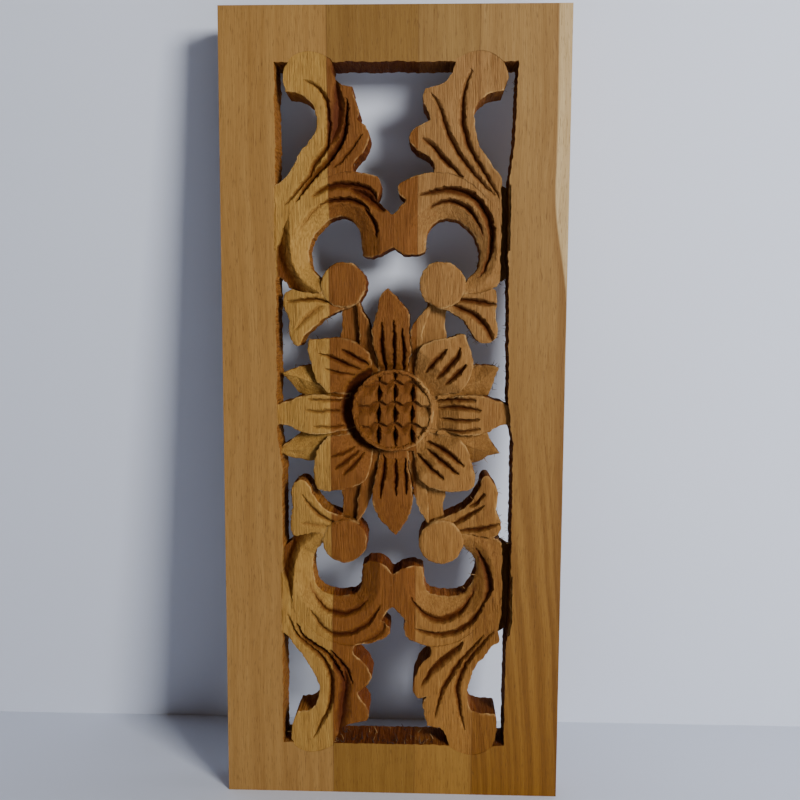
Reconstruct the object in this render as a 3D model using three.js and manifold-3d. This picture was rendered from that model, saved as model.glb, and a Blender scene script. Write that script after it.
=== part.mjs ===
// Carved fretwork grille: one thin teak board, pierced with a fretsaw and carved from its face.
// Millimetres. X runs across the panel and Z up it. The back lies flat on y = 0 and the carved
// face looks towards -Y. The origin is on the back, behind the flower at the middle.
// One quarter of the carving is drawn flat first, as (across, up, height above the back). It is
// mirrored into the other quarters, pulled here and there as by a carver's hand, and stood upright.

import * as THREE from 'three';
import { mergeVertices } from 'three/addons/utils/BufferGeometryUtils.js';
import Module from 'manifold-3d';

const wasm = await Module();
wasm.setup();

// The board and its plain border
const PANEL_WIDTH = 130;
const PANEL_HEIGHT = 302;
const PANEL_THICKNESS = 15;
const STILE_WIDTH = 20.7;
const RAIL_HEIGHT = 20.3;

// How far each carved surface lies below the face of the board
const LEAF_HEAD_DROP = 0.9;
const LEAF_TAIL_DROP = 1.7;
const SCROLL_DROP = 1.2;
const EYE_EDGE_DROP = 4.4;
const SHOULDER_FOOT_DROP = 6.5;
const BUD_DROP = 0.6;
const BUD_ROUNDING = 1.6;
const CALYX_DROP = 0.9;
const CALYX_FALL = 1.1;
const STEM_DROP = 6.5;
const SIDE_PETAL_DROP = 4;
const SIDE_PETAL_FALL = 2.5;
const PETAL_CREST_DROP = 1;
const PETAL_ROOT_DROP = 5.2;
const PETAL_TIP_DROP = 2.6;
const SEPAL_RIDGE_DROP = 3.2;
const SEPAL_EDGE_DROP = 7;
const CORE_DROP = 4.8;
const SEED_HEAD_DROP = 0.8;
const SEED_HEAD_RIM_DROP = 0.1;

// The gouge cuts
const HEAD_LINE_DEPTH = 1.8;
const LEAF_GOUGE_WIDTH = 3.4;
const LEAF_GOUGE_DEPTH = 2.6;
const SCROLL_GOUGE_WIDTH = 2.8;
const SCROLL_GOUGE_DEPTH = 2.2;
const CALYX_GOUGE_WIDTH = 2.2;
const CALYX_GOUGE_DEPTH = 1.6;
const PETAL_GOUGE_WIDTH = 2.3;
const PETAL_GOUGE_DEPTH = 2;
const PARTING_CUT_DEPTH = 3;

// The seed head in the middle of the flower, and the trough around it
const SEED_HEAD_RADIUS = 15.6;
const SEED_HEAD_RIM = 1.3;
const SEED_HEAD_RAISE = 1.8;
const TROUGH_WIDTH = 2.9;
const HEAD_GROOVE_COUNT = 3;
const HEAD_GROOVE_PITCH = 6.4;
const HEAD_GROOVE_WIDTH = 3.2;
const HEAD_GROOVE_DEPTH = 2.8;
const HEAD_CROSS_PITCH = 8.1;
const HEAD_CROSS_WIDTH = 4;
const HEAD_CROSS_DEPTH = 1.7;

// The opening that the quarter is drawn for, and how far a tool starts above the wood
const DRAWN_HALF_WIDTH = 44.3;
const DRAWN_HALF_HEIGHT = 130.7;
const TOOL_CLEARANCE = 3;

// How many straight steps make a curve, and how finely two surfaces are told apart
const CURVE_STEPS = 1;
const GOUGE_MIN_STEPS = 3;
const SLOPE_STEPS = 8;
const ROUND_STEPS = 28;
const BUD_STEPS = 20;
const ROUNDING_STEPS = 3;
const GRAINS_PER_MM = 10000;
const JOINING_TOLERANCE = 0.002;

// Worked out from the sizes above
const FACE = PANEL_THICKNESS;
const WINDOW_HALF_WIDTH = PANEL_WIDTH / 2 - STILE_WIDTH;
const WINDOW_HALF_HEIGHT = PANEL_HEIGHT / 2 - RAIL_HEIGHT;
const ACROSS_SCALE = WINDOW_HALF_WIDTH / DRAWN_HALF_WIDTH;
const UP_SCALE = WINDOW_HALF_HEIGHT / DRAWN_HALF_HEIGHT;
const CORE_RADIUS = SEED_HEAD_RADIUS + TROUGH_WIDTH;

const UPWARD = Math.PI / 2;
const QUARTERS = [[-1, 1], [1, 1], [-1, -1], [1, -1]];

// A closed outline of smooth runs, each a list of [across, up] points, with a corner between runs
function outline(...runs) {
  const shape = new THREE.Shape();
  runs.forEach((run, index) => {
    const points = run.map(([across, up]) => new THREE.Vector2(across, up));
    if (index === 0) {
      shape.moveTo(points[0].x, points[0].y);
    } else {
      shape.lineTo(points[0].x, points[0].y);
    }
    if (points.length > 2) {
      shape.splineThru(points.slice(1));
    } else if (points.length === 2) {
      shape.lineTo(points[1].x, points[1].y);
    }
  });
  return shape;
}

// The tall leaf: its curled head is set into the rail, and its tail runs down to the stile
const LEAF_HEAD_ARC = [
  [39.8, 120.3], [41, 125], [40, 129.6], [37, 133], [32.3, 134.5], [27.3, 133.7], [23, 131.5],
];
const LEAF_OUTLINE = outline(
  [[23, 131.5], [21.3, 126.5], [18.6, 123.6], [13, 122.3]],
  [[13, 122.3], [12, 118], [12.5, 113.5], [13.4, 110]],
  [[13.4, 110], [9.4, 107.4], [7.6, 104], [9.8, 99.5], [14.8, 94.6], [15, 91]],
  [[22, 82], [37, 66]],
  [[45, 62], [45, 86]],
  [
    [43.5, 87], [39, 90.8], [35, 95.8], [31, 101.6], [28.7, 107.5], [29, 112.5], [31, 116.3], [35, 119.3],
  ],
  LEAF_HEAD_ARC,
);
const LEAF_HEAD_OUTLINE = outline(LEAF_HEAD_ARC);
const LEAF_HEAD_CENTRE = [32, 127];
const HEAD_LINE_SPREAD = 1.07;
const LEAF_GOUGES = [
  [[32, 126], [28.4, 121], [25.6, 114], [25.4, 106.5], [28.6, 98.5], [34.4, 90.4], [40, 83]],
  [[16.6, 119.5], [17.6, 111], [20.4, 103.5], [26, 94.8], [34, 85.5]],
  [[11.4, 104.2], [16, 99.4], [20.6, 94.4], [24.6, 89.4]],
];

// The leaf's surface rises steeply from its tail and then levels out towards its head
const LEAF_TAIL_UP = 80;
const LEAF_HEAD_UP = 118;
const LEAF_PROFILE_STEPS = 3;
function leafSurface(up) {
  const share = THREE.MathUtils.clamp((up - LEAF_TAIL_UP) / (LEAF_HEAD_UP - LEAF_TAIL_UP), 0, 1);
  return FACE - THREE.MathUtils.lerp(LEAF_TAIL_DROP, LEAF_HEAD_DROP, Math.sqrt(share));
}

// The scroll: two lobes and a tongue at the panel's middle line, and a band that curls round the eye.
// Its crest is the line from which the shoulder slopes down to the stile.
const EYE_EDGE = [
  [12, 60.5], [12.2, 65.5], [13.2, 70], [17, 73.2], [22.5, 73.5], [27.5, 71.2], [31, 67], [32.6, 61.3],
  [31.5, 55.8], [28.5, 52.3],
];
const SCROLL_OUTLINE = outline(
  [[15, 91.4], [9, 90.2], [4.6, 88], [3, 85], [4.8, 81]],
  [[4.8, 81], [1.8, 77.2], [-0.6, 75]],
  [[-0.6, 62.6], [0.6, 62.4], [4, 60.2], [8.5, 59.3], [12, 60.5]],
  EYE_EDGE,
  [[24, 46], [31, 46]],
  [[40.2, 48.3], [41.4, 50.6]],
  [[45, 53], [45, 62]],
  [[43, 66], [40.6, 73], [36.6, 79.6], [31, 85.2], [24, 89.6], [15, 91.4]],
);
const EYE_SLOPE_START = [11.6, 58];
const EYE_SLOPE_WIDTH = 6;
const SCROLL_CREST = [[42.6, 84], [41.2, 78], [40, 70], [39.3, 62], [36, 54.5], [30, 48], [25, 44.5]];
const SHOULDER_WIDTH = 6;
const SCROLL_GOUGES = [
  [[6.8, 83.4], [10, 85.6], [15.4, 86.6], [22.4, 86], [29, 82.6], [34.4, 76.5], [36.8, 68]],
  [[6, 72], [9, 77], [15, 79.8], [22.4, 80.2], [29.4, 77], [34, 70.4], [35.4, 62]],
];

// The bud that ends the scroll, and the two-lobed calyx leaf that grows from it towards the stile
const BUD_CENTRE = [18.7, 49.4];
const BUD_RADIUS = 8.6;
const CALYX_OUTLINE = outline(
  [[18, 46], [25, 48.6], [30.5, 49], [36, 48.4], [40, 46.6], [41, 42.5], [40, 38.6], [39.3, 36]],
  [[39.3, 36], [39.6, 31], [37, 27.4], [34, 27], [31.5, 31], [27, 36], [21.5, 39.2], [16, 41]],
);
const CALYX_ROOT_ACROSS = 20;
const CALYX_CREST_ACROSS = [30, 36];
const CALYX_TIP_ACROSS = 42;
const CALYX_GOUGES = [
  [[23.6, 43.6], [28, 44.4], [34, 44], [39.4, 42.5]],
  [[21.8, 41.4], [28, 39], [33.4, 35.6], [37, 30.6]],
];

// The recessed stem that carries the bud, and the narrow petal that lies against it
const STEM_OUTLINE = outline(
  [[14, 46], [20.5, 42]],
  [[20.5, 42], [19.6, 36], [20.6, 29]],
  [[15, 18], [8, 20]],
  [[10, 30], [12, 40]],
);
const SIDE_PETAL_OUTLINE = outline(
  [[14.2, 43], [11.2, 38.6], [9.2, 34.4], [8.2, 29.4]],
  [[6.6, 22], [5, 14]],
  [[12, 14], [12.6, 26], [13.6, 34]],
);
const SIDE_PETAL_ANGLE = THREE.MathUtils.degToRad(75);
const SIDE_PETAL_ROOT = 16;
const SIDE_PETAL_CREST = 28;

// The flower's petals. Upright and sideways ones are half outlines, as [half width, distance out].
const UPRIGHT_PETAL = [[5.6, 14], [6, 20], [7.6, 28], [7.8, 34], [5.6, 40.5], [2.4, 45.6], [0, 48]];
const UPRIGHT_GOUGE_SPREAD = 2.8;
const UPRIGHT_GOUGE_LENGTH = 20;
const SIDEWAYS_PETAL = [[5.6, 14], [6.4, 20], [7.6, 28], [7, 35], [4.8, 40.6], [3.7, 46]];
const SIDEWAYS_GOUGE_SPREAD = 3.6;
const SIDEWAYS_GOUGE_LENGTH = 16;
const GOUGE_FAN = 0.2;
const CORNER_PETAL_OUTLINE = outline(
  [[8, 14], [9.2, 22.8], [12.6, 26.8], [18, 29], [24, 29.6], [30.2, 29.3]],
  [[30.2, 29.3], [30.8, 24], [30.2, 18], [28.6, 13], [25, 8.6]],
  [[14, 7]],
);
const CORNER_PETAL_ANGLE = THREE.MathUtils.degToRad(44);
const CORNER_PETAL_GOUGES = [
  [[11, 14.5], [15.6, 20.4], [20.4, 25.6]],
  [[13.6, 13], [19.6, 18.6], [25.6, 24.2]],
  [[15.8, 10.2], [21.2, 14.4], [26.4, 18.8]],
];
const PETAL_PARTING = [[15, 5.4], [21, 7], [27.5, 8.2]];

// A petal along its axis: low at the root, full in the middle, sinking to the tip
const PETAL_RISE = 6.5;
const PETAL_CREST_LENGTH = 8;
const PETAL_FALL = 13.5;
const PETAL_CREST_OUT = CORE_RADIUS + PETAL_RISE;
const PETAL_FALL_OUT = PETAL_CREST_OUT + PETAL_CREST_LENGTH;
const PETAL_PROFILE = [
  [CORE_RADIUS - TROUGH_WIDTH / 2, FACE - PETAL_ROOT_DROP],
  [PETAL_CREST_OUT, FACE - PETAL_CREST_DROP],
  [PETAL_FALL_OUT, FACE - PETAL_CREST_DROP],
  [PETAL_FALL_OUT + PETAL_FALL, FACE - PETAL_TIP_DROP],
];
function petalSurface(distance) {
  const beyond = PETAL_PROFILE.findIndex(([place]) => place >= distance);
  if (beyond === 0) {
    return PETAL_PROFILE[0][1];
  }
  const [farther, height] = PETAL_PROFILE[beyond];
  const [nearer, before] = PETAL_PROFILE[beyond - 1];
  return THREE.MathUtils.mapLinear(distance, nearer, farther, before, height);
}

// The pointed sepal between two petals: two slopes that meet in a ridge
const SEPAL_TIP = [41.6, 16.6];
const SEPAL_OUTLINE = outline(
  [[17, 11], [26, 19.4]],
  [[33.4, 18.8], SEPAL_TIP],
  [[39, 12], [36.6, 7.4]],
  [[26, 6], [17, 4]],
);
const SEPAL_RIDGE_ANGLE = THREE.MathUtils.degToRad(21);
const SEPAL_HALF_WIDTH = 6.5;

// The carver's hand: small pulls on the symmetrical drawing, as [across, up, pull across, pull up].
// They fade out over the last few millimetres before the border.
const HAND_REACH = 10;
const HAND_FADE = 2.6;
const UPPER_LEFT_PULLS = [
  [-13, 121, -2.6, -0.6], [-7.6, 104, -1.4, 0.5], [-4, 87, -1.8, 0.6], [-4.8, 80, -1.4, 0], [-20, 74, 0, 1.5],
  [-4, 61, 0, 1], [-18.7, 49.4, -1.3, 0.6], [-31, 29, -2.4, -1], [-41.6, 16.6, -1.3, -0.6],
];
const UPPER_RIGHT_PULLS = [
  [13, 121, -1.4, -1.2], [7.6, 104, -2, -0.6], [28.7, 109, 1.2, 0.6], [3.4, 87, -1.6, -0.5], [20, 74, 0, 0.8],
  [10, 60, 0, 1.6], [18.7, 49.4, -0.7, -0.4], [41, 43, -2, 0.8], [30, 29, -2.6, 1.8], [41, 16.6, -1.4, 1.7],
];
const LOWER_LEFT_PULLS = [
  [-12, -121, 3.2, 1.2], [-38.6, -119.6, 1.7, 2.1], [-8, -103, -0.6, 0.6], [-3, -87, 2.4, 0.3],
  [-6, -59.5, 0, 1.9], [-20, -73.5, 0, 1.4], [-32.4, -60, 1, 1], [-18.7, -49.4, 1.2, 0.9],
  [-35.5, -27, -0.5, 1.8], [-30, -29, 0.8, 0.8], [-41.6, -16.6, -1.3, 1.6],
];
const LOWER_RIGHT_PULLS = [
  [13, -122, 1, -0.7], [39, -119.6, -1.2, 1.8], [8, -106, 0.4, -3.4], [28.7, -108, 1.2, 0],
  [4.5, -87, 1.6, 0.6], [20, -73, 0, 1.8], [18.7, -49.4, 0.3, -0.6], [35.5, -27, 0, 1],
  [30.2, -29, 0.7, 1.3], [41, -16, -1.6, 2.2],
];
const MIDDLE_LINE_PULLS = [[0, 46, -2.2, 0.4], [0, -46, 1, 1.2], [41, 0, 0, 1.4], [-41, 0, 0, 0.4]];
const HAND_PULLS = [
  ...UPPER_LEFT_PULLS, ...UPPER_RIGHT_PULLS, ...LOWER_LEFT_PULLS, ...LOWER_RIGHT_PULLS, ...MIDDLE_LINE_PULLS,
];

// Turns a closed geometry into a solid that can be cut and joined. Its points are rounded a little,
// so that faces that are meant to meet do meet.
function solidOf(geometry) {
  const bare = geometry.clone();
  bare.deleteAttribute('normal');
  bare.deleteAttribute('uv');
  bare.attributes.position.array.forEach((value, index, all) => {
    all[index] = Math.round(value * GRAINS_PER_MM) / GRAINS_PER_MM;
  });
  const welded = mergeVertices(bare, 0.5 / GRAINS_PER_MM);
  const mesh = new wasm.Mesh({
    numProp: 3,
    vertProperties: new Float32Array(welded.attributes.position.array),
    triVerts: new Uint32Array(welded.index.array),
    tolerance: JOINING_TOLERANCE,
  });
  return new wasm.Manifold(mesh);
}

// Turns a solid back into a geometry
function geometryOf(solid) {
  const mesh = solid.getMesh();
  const geometry = new THREE.BufferGeometry();
  geometry.setAttribute('position', new THREE.BufferAttribute(new Float32Array(mesh.vertProperties), 3));
  geometry.setIndex(new THREE.BufferAttribute(new Uint32Array(mesh.triVerts), 1));
  return geometry;
}

function joined(solids) {
  return solids.reduce((whole, solid) => whole.add(solid));
}

function cutBy(solid, cuts) {
  return cuts.reduce((rest, cut) => rest.subtract(cut), solid);
}

// An outline sawn straight through the board, up to the given height
function sawn(shape, top) {
  const options = { depth: top, bevelEnabled: false, curveSegments: CURVE_STEPS };
  return solidOf(new THREE.ExtrudeGeometry(shape, options));
}

// The same, with its top cut to a profile of [distance, height] points along a direction
function profiled(shape, angle, profile) {
  const reach = 2 * DRAWN_HALF_HEIGHT;
  const side = new THREE.Shape();
  side.moveTo(-reach, -TOOL_CLEARANCE);
  side.lineTo(reach, -TOOL_CLEARANCE);
  side.lineTo(reach, profile[profile.length - 1][1]);
  [...profile].reverse().forEach(([distance, height]) => side.lineTo(distance, height));
  side.lineTo(-reach, profile[0][1]);
  const under = new THREE.ExtrudeGeometry(side, { depth: 2 * reach, bevelEnabled: false });
  under.translate(0, 0, -reach);
  under.rotateX(UPWARD);
  under.rotateZ(angle);
  return sawn(shape, FACE).intersect(solidOf(under));
}

// Stations along a smooth path of [across, up, surface height] points, each with its tool section
function stationsAlong(points, steps, sectionAt) {
  const curve = new THREE.CatmullRomCurve3(points.map((point) => new THREE.Vector3(...point)));
  const stations = [];
  for (let step = 0; step <= steps; step += 1) {
    const share = step / steps;
    const point = curve.getPoint(share);
    const along = curve.getTangent(share);
    const left = new THREE.Vector2(-along.y, along.x).normalize();
    stations.push({ point, left, section: sectionAt(share, point.z) });
  }
  return stations;
}

// A closed body swept through stations. A section is a list of [sideways, height] points, counted
// to the left of the path, and all sections have the same number of points.
function swept(stations) {
  const ring = stations[0].section.length;
  const first = stations[0].section.map(([sideways, height]) => new THREE.Vector2(sideways, height));
  const turned = THREE.ShapeUtils.area(first) > 0;
  const positions = [];
  for (const { point, left, section } of stations) {
    const corners = turned ? [...section].reverse() : section;
    for (const [sideways, height] of corners) {
      positions.push(point.x + left.x * sideways, point.y + left.y * sideways, height);
    }
  }
  const faces = [];
  for (let station = 0; station < stations.length - 1; station += 1) {
    for (let corner = 0; corner < ring; corner += 1) {
      const a = station * ring + corner;
      const b = station * ring + ((corner + 1) % ring);
      faces.push(a, a + ring, b, b, a + ring, b + ring);
    }
  }
  const end = (stations.length - 1) * ring;
  for (let corner = 1; corner < ring - 1; corner += 1) {
    faces.push(0, corner, corner + 1);
    faces.push(end, end + corner + 1, end + corner);
  }
  const geometry = new THREE.BufferGeometry();
  geometry.setAttribute('position', new THREE.Float32BufferAttribute(positions, 3));
  geometry.setIndex(faces);
  return solidOf(geometry);
}

// The section of a V-shaped cut, widened above the wood so that the tool stands clear of it
function veeSection(width, depth, surface) {
  const half = (width / 2) * ((depth + TOOL_CLEARANCE) / depth);
  const top = surface + TOOL_CLEARANCE;
  return [[0, surface - depth], [-half, top], [half, top]];
}

// A gouge cut that swells from a fine start and runs out again
const GOUGE_LEAST_SWELL = 0.12;
const GOUGE_FULLNESS = 0.6;
function gouge(points, width, depth) {
  const section = (share, surface) => {
    const swell = Math.max(GOUGE_LEAST_SWELL, Math.sin(Math.PI * share) ** GOUGE_FULLNESS);
    return veeSection(width * swell, depth * swell, surface);
  };
  return swept(stationsAlong(points, Math.max(GOUGE_MIN_STEPS, points.length - 1), section));
}

// A slope cut along a path, from one height on the path to another at its foot, which lies to the
// left of the path. The cut runs a little past both.
const SLOPE_OVERRUN = 0.15;
function slopeCut(path, reach, brink, foot) {
  const top = FACE + TOOL_CLEARANCE;
  const rise = SLOPE_OVERRUN * (foot - brink);
  const near = -SLOPE_OVERRUN * reach;
  const far = (1 + SLOPE_OVERRUN) * reach;
  const section = () => [[near, brink - rise], [near, top], [far, top], [far, foot + rise]];
  return swept(stationsAlong(path.map(([across, up]) => [across, up, 0]), SLOPE_STEPS, section));
}

function leaf() {
  const profile = [];
  for (let step = 0; step <= LEAF_PROFILE_STEPS; step += 1) {
    const up = THREE.MathUtils.lerp(LEAF_TAIL_UP, LEAF_HEAD_UP, step / LEAF_PROFILE_STEPS);
    profile.push([up, leafSurface(up)]);
  }
  return profiled(LEAF_OUTLINE, UPWARD, profile);
}

function scroll() {
  const top = FACE - SCROLL_DROP;
  const eyeRim = [EYE_SLOPE_START, ...EYE_EDGE.slice(1)];
  const eyeSlope = slopeCut(eyeRim, EYE_SLOPE_WIDTH, FACE - EYE_EDGE_DROP, top);
  const shoulder = slopeCut(SCROLL_CREST, SHOULDER_WIDTH, top, FACE - SHOULDER_FOOT_DROP);
  return cutBy(sawn(SCROLL_OUTLINE, top), [shoulder, eyeSlope]);
}

function bud() {
  const rim = FACE - BUD_DROP - BUD_ROUNDING;
  const profile = [new THREE.Vector2(0, 0), new THREE.Vector2(BUD_RADIUS, 0)];
  for (let step = 0; step <= ROUNDING_STEPS; step += 1) {
    const turn = (step / ROUNDING_STEPS) * UPWARD;
    profile.push(new THREE.Vector2(BUD_RADIUS * Math.cos(turn), rim + BUD_ROUNDING * Math.sin(turn)));
  }
  const button = new THREE.LatheGeometry(profile, BUD_STEPS);
  button.rotateX(UPWARD);
  button.translate(BUD_CENTRE[0], BUD_CENTRE[1], 0);
  return solidOf(button);
}

function calyx() {
  const top = FACE - CALYX_DROP;
  return profiled(CALYX_OUTLINE, 0, [
    [CALYX_ROOT_ACROSS, top - CALYX_FALL],
    ...CALYX_CREST_ACROSS.map((across) => [across, top]),
    [CALYX_TIP_ACROSS, top - CALYX_FALL],
  ]);
}

function sidePetal() {
  const top = FACE - SIDE_PETAL_DROP;
  return profiled(SIDE_PETAL_OUTLINE, SIDE_PETAL_ANGLE, [
    [SIDE_PETAL_ROOT, top - SIDE_PETAL_FALL],
    [SIDE_PETAL_CREST, top],
  ]);
}

function sepal() {
  const acrossRidge = UPWARD + SEPAL_RIDGE_ANGLE;
  const ridge = SEPAL_TIP[0] * Math.cos(acrossRidge) + SEPAL_TIP[1] * Math.sin(acrossRidge);
  return profiled(SEPAL_OUTLINE, acrossRidge, [
    [ridge - SEPAL_HALF_WIDTH, FACE - SEPAL_EDGE_DROP],
    [ridge, FACE - SEPAL_RIDGE_DROP],
    [ridge + SEPAL_HALF_WIDTH, FACE - SEPAL_EDGE_DROP],
  ]);
}

// A point of a petal that lies on one of the panel's middle lines
function onAxis(turn, out, sideways) {
  return [
    out * Math.cos(turn) - sideways * Math.sin(turn),
    out * Math.sin(turn) + sideways * Math.cos(turn),
  ];
}

function straightPetal(half, turn) {
  const one = half.map(([wide, out]) => onAxis(turn, out, -wide));
  const other = half.map(([wide, out]) => onAxis(turn, out, wide)).reverse();
  return profiled(outline(one, other), turn, PETAL_PROFILE);
}

// Three cuts that fan out along such a petal
function straightPetalGouges(turn, spread, length) {
  const start = CORE_RADIUS - TROUGH_WIDTH / 2;
  const lines = [-1, 0, 1].map((side) =>
    [0, 0.5, 1].map((share) => {
      const out = start + share * length;
      const sideways = side * spread * (1 - GOUGE_FAN * (1 - share));
      return [...onAxis(turn, out, sideways), petalSurface(out)];
    }),
  );
  return joined(lines.map((line) => gouge(line, PETAL_GOUGE_WIDTH, PETAL_GOUGE_DEPTH)));
}

// The hub under the petal roots, which shows as the floor of the trough
function core() {
  const hub = new THREE.CylinderGeometry(CORE_RADIUS, CORE_RADIUS, FACE - CORE_DROP, ROUND_STEPS);
  hub.rotateX(UPWARD);
  hub.translate(0, 0, (FACE - CORE_DROP) / 2);
  return solidOf(hub);
}

// The seed head: a disc with a thin rim, cut into facets by grooves that cross
function seedHead() {
  const top = FACE - SEED_HEAD_DROP;
  const rimTop = FACE - SEED_HEAD_RIM_DROP;
  const inner = SEED_HEAD_RADIUS - SEED_HEAD_RIM;
  const rimFoot = inner - SEED_HEAD_DROP / 2;
  const profile = [
    [0, 0], [SEED_HEAD_RADIUS, 0], [SEED_HEAD_RADIUS, rimTop], [inner, rimTop], [rimFoot, top], [0, top],
  ].map((point) => new THREE.Vector2(...point));
  const disc = new THREE.LatheGeometry(profile, ROUND_STEPS);
  disc.rotateX(UPWARD);
  const groove = (from, to, width, depth) => {
    const section = () => veeSection(width, depth, top);
    return swept(stationsAlong([[...from, 0], [...to, 0]], 1, section));
  };
  const cuts = [];
  for (let index = 0; index < HEAD_GROOVE_COUNT; index += 1) {
    const place = index - (HEAD_GROOVE_COUNT - 1) / 2;
    const across = place * HEAD_GROOVE_PITCH;
    const halfUpright = Math.sqrt(rimFoot ** 2 - across ** 2);
    cuts.push(groove([across, -halfUpright], [across, halfUpright], HEAD_GROOVE_WIDTH, HEAD_GROOVE_DEPTH));
    const up = place * HEAD_CROSS_PITCH;
    const halfLevel = Math.sqrt(rimFoot ** 2 - up ** 2);
    cuts.push(groove([-halfLevel, up], [halfLevel, up], HEAD_CROSS_WIDTH, HEAD_CROSS_DEPTH));
  }
  const raised = geometryOf(cutBy(solidOf(disc), cuts));
  raised.translate(0, SEED_HEAD_RAISE, 0);
  return solidOf(raised);
}

// Height of the corner petal's surface at a point of the drawing
function cornerPetalSurface([across, up]) {
  return petalSurface(across * Math.cos(CORNER_PETAL_ANGLE) + up * Math.sin(CORNER_PETAL_ANGLE));
}

// Everything that stands in one quarter of the opening
function quarterPieces() {
  const stem = sawn(STEM_OUTLINE, FACE - STEM_DROP);
  const cornerPetal = profiled(CORNER_PETAL_OUTLINE, CORNER_PETAL_ANGLE, PETAL_PROFILE);
  return joined([leaf(), scroll(), bud(), calyx(), stem, sidePetal(), sepal(), cornerPetal]);
}

// The gouge cuts of one quarter
function quarterCuts() {
  const onLeaf = ([across, up]) => [across, up, leafSurface(up)];
  const onScroll = ([across, up]) => [across, up, FACE - SCROLL_DROP];
  const onCalyx = ([across, up]) => [across, up, FACE - CALYX_DROP];
  const onPetal = ([across, up]) => [across, up, cornerPetalSurface([across, up])];
  return joined([
    ...LEAF_GOUGES.map((line) => gouge(line.map(onLeaf), LEAF_GOUGE_WIDTH, LEAF_GOUGE_DEPTH)),
    ...SCROLL_GOUGES.map((line) => gouge(line.map(onScroll), SCROLL_GOUGE_WIDTH, SCROLL_GOUGE_DEPTH)),
    ...CALYX_GOUGES.map((line) => gouge(line.map(onCalyx), CALYX_GOUGE_WIDTH, CALYX_GOUGE_DEPTH)),
    ...CORNER_PETAL_GOUGES.map((line) => gouge(line.map(onPetal), PETAL_GOUGE_WIDTH, PETAL_GOUGE_DEPTH)),
    gouge(PETAL_PARTING.map(onPetal), PETAL_GOUGE_WIDTH, PARTING_CUT_DEPTH),
  ]);
}

// A copy of a drawn solid in one of the quarters, fitted to the panel's opening
function placed(solid, [across, up]) {
  const geometry = geometryOf(solid);
  geometry.scale(across * ACROSS_SCALE, up * UP_SCALE, 1);
  if (across * up < 0) {
    const index = geometry.index.array;
    for (let face = 0; face < index.length; face += 3) {
      [index[face], index[face + 1]] = [index[face + 1], index[face]];
    }
  }
  return solidOf(geometry);
}

// The plain border: the board with its opening sawn out, and a line cut round each leaf head
function border() {
  const rectangle = (path, halfWidth, halfHeight) => {
    path.moveTo(-halfWidth, -halfHeight);
    path.lineTo(halfWidth, -halfHeight);
    path.lineTo(halfWidth, halfHeight);
    path.lineTo(-halfWidth, halfHeight);
    path.closePath();
    return path;
  };
  const board = rectangle(new THREE.Shape(), PANEL_WIDTH / 2, PANEL_HEIGHT / 2);
  board.holes.push(rectangle(new THREE.Path(), WINDOW_HALF_WIDTH, WINDOW_HALF_HEIGHT));
  const depth = HEAD_LINE_DEPTH + TOOL_CLEARANCE;
  const options = { depth, bevelEnabled: false, curveSegments: CURVE_STEPS };
  const seat = new THREE.ExtrudeGeometry(LEAF_HEAD_OUTLINE, options);
  seat.translate(-LEAF_HEAD_CENTRE[0], -LEAF_HEAD_CENTRE[1], FACE - HEAD_LINE_DEPTH);
  seat.scale(HEAD_LINE_SPREAD, HEAD_LINE_SPREAD, 1);
  seat.translate(LEAF_HEAD_CENTRE[0], LEAF_HEAD_CENTRE[1], 0);
  return cutBy(sawn(board, FACE), QUARTERS.map((quarter) => placed(solidOf(seat), quarter)));
}

// Moves each point of the carving by the pulls that reach it, and leaves heights as they are
function pulledByHand(geometry) {
  const position = geometry.attributes.position;
  for (let index = 0; index < position.count; index += 1) {
    const across = position.getX(index) / ACROSS_SCALE;
    const up = position.getY(index) / UP_SCALE;
    const toBorder = Math.min(DRAWN_HALF_WIDTH - Math.abs(across), DRAWN_HALF_HEIGHT - Math.abs(up));
    const loose = THREE.MathUtils.smoothstep(toBorder, 0, HAND_FADE);
    let moveAcross = 0;
    let moveUp = 0;
    for (const [atAcross, atUp, pullAcross, pullUp] of HAND_PULLS) {
      const far = Math.hypot(across - atAcross, up - atUp) / HAND_REACH;
      const strength = far < 1 ? loose * (1 - far * far) ** 2 : 0;
      moveAcross += strength * pullAcross;
      moveUp += strength * pullUp;
    }
    position.setX(index, (across + moveAcross) * ACROSS_SCALE);
    position.setY(index, (up + moveUp) * UP_SCALE);
  }
  return geometry;
}

function carvedPanel() {
  const rightAndLeft = [[1, 1], [-1, 1]];
  const topAndBottom = [[1, 1], [1, -1]];
  const quarter = quarterPieces();
  const upright = straightPetal(UPRIGHT_PETAL, UPWARD);
  const sideways = straightPetal(SIDEWAYS_PETAL, 0);
  const pieces = joined([
    border(),
    placed(core(), [1, 1]),
    ...topAndBottom.map((side) => placed(upright, side)),
    ...rightAndLeft.map((side) => placed(sideways, side)),
    ...QUARTERS.map((side) => placed(quarter, side)),
  ]);
  const cuts = quarterCuts();
  const uprightCuts = straightPetalGouges(UPWARD, UPRIGHT_GOUGE_SPREAD, UPRIGHT_GOUGE_LENGTH);
  const sidewaysCuts = straightPetalGouges(0, SIDEWAYS_GOUGE_SPREAD, SIDEWAYS_GOUGE_LENGTH);
  const gouged = cutBy(pieces, [
    ...topAndBottom.map((side) => placed(uprightCuts, side)),
    ...rightAndLeft.map((side) => placed(sidewaysCuts, side)),
    ...QUARTERS.map((side) => placed(cuts, side)),
  ]);
  const geometry = pulledByHand(geometryOf(gouged.add(placed(seedHead(), [1, 1]))));
  geometry.rotateX(UPWARD);
  geometry.computeVertexNormals();
  return geometry;
}

const teak = new THREE.MeshStandardMaterial({ color: 0x9c7440, roughness: 0.62, metalness: 0 });
const panel = new THREE.Mesh(carvedPanel(), teak);
panel.name = 'carved_panel';

const grille = new THREE.Group();
grille.add(panel);

export default grille;
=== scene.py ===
import math
import random

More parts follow.
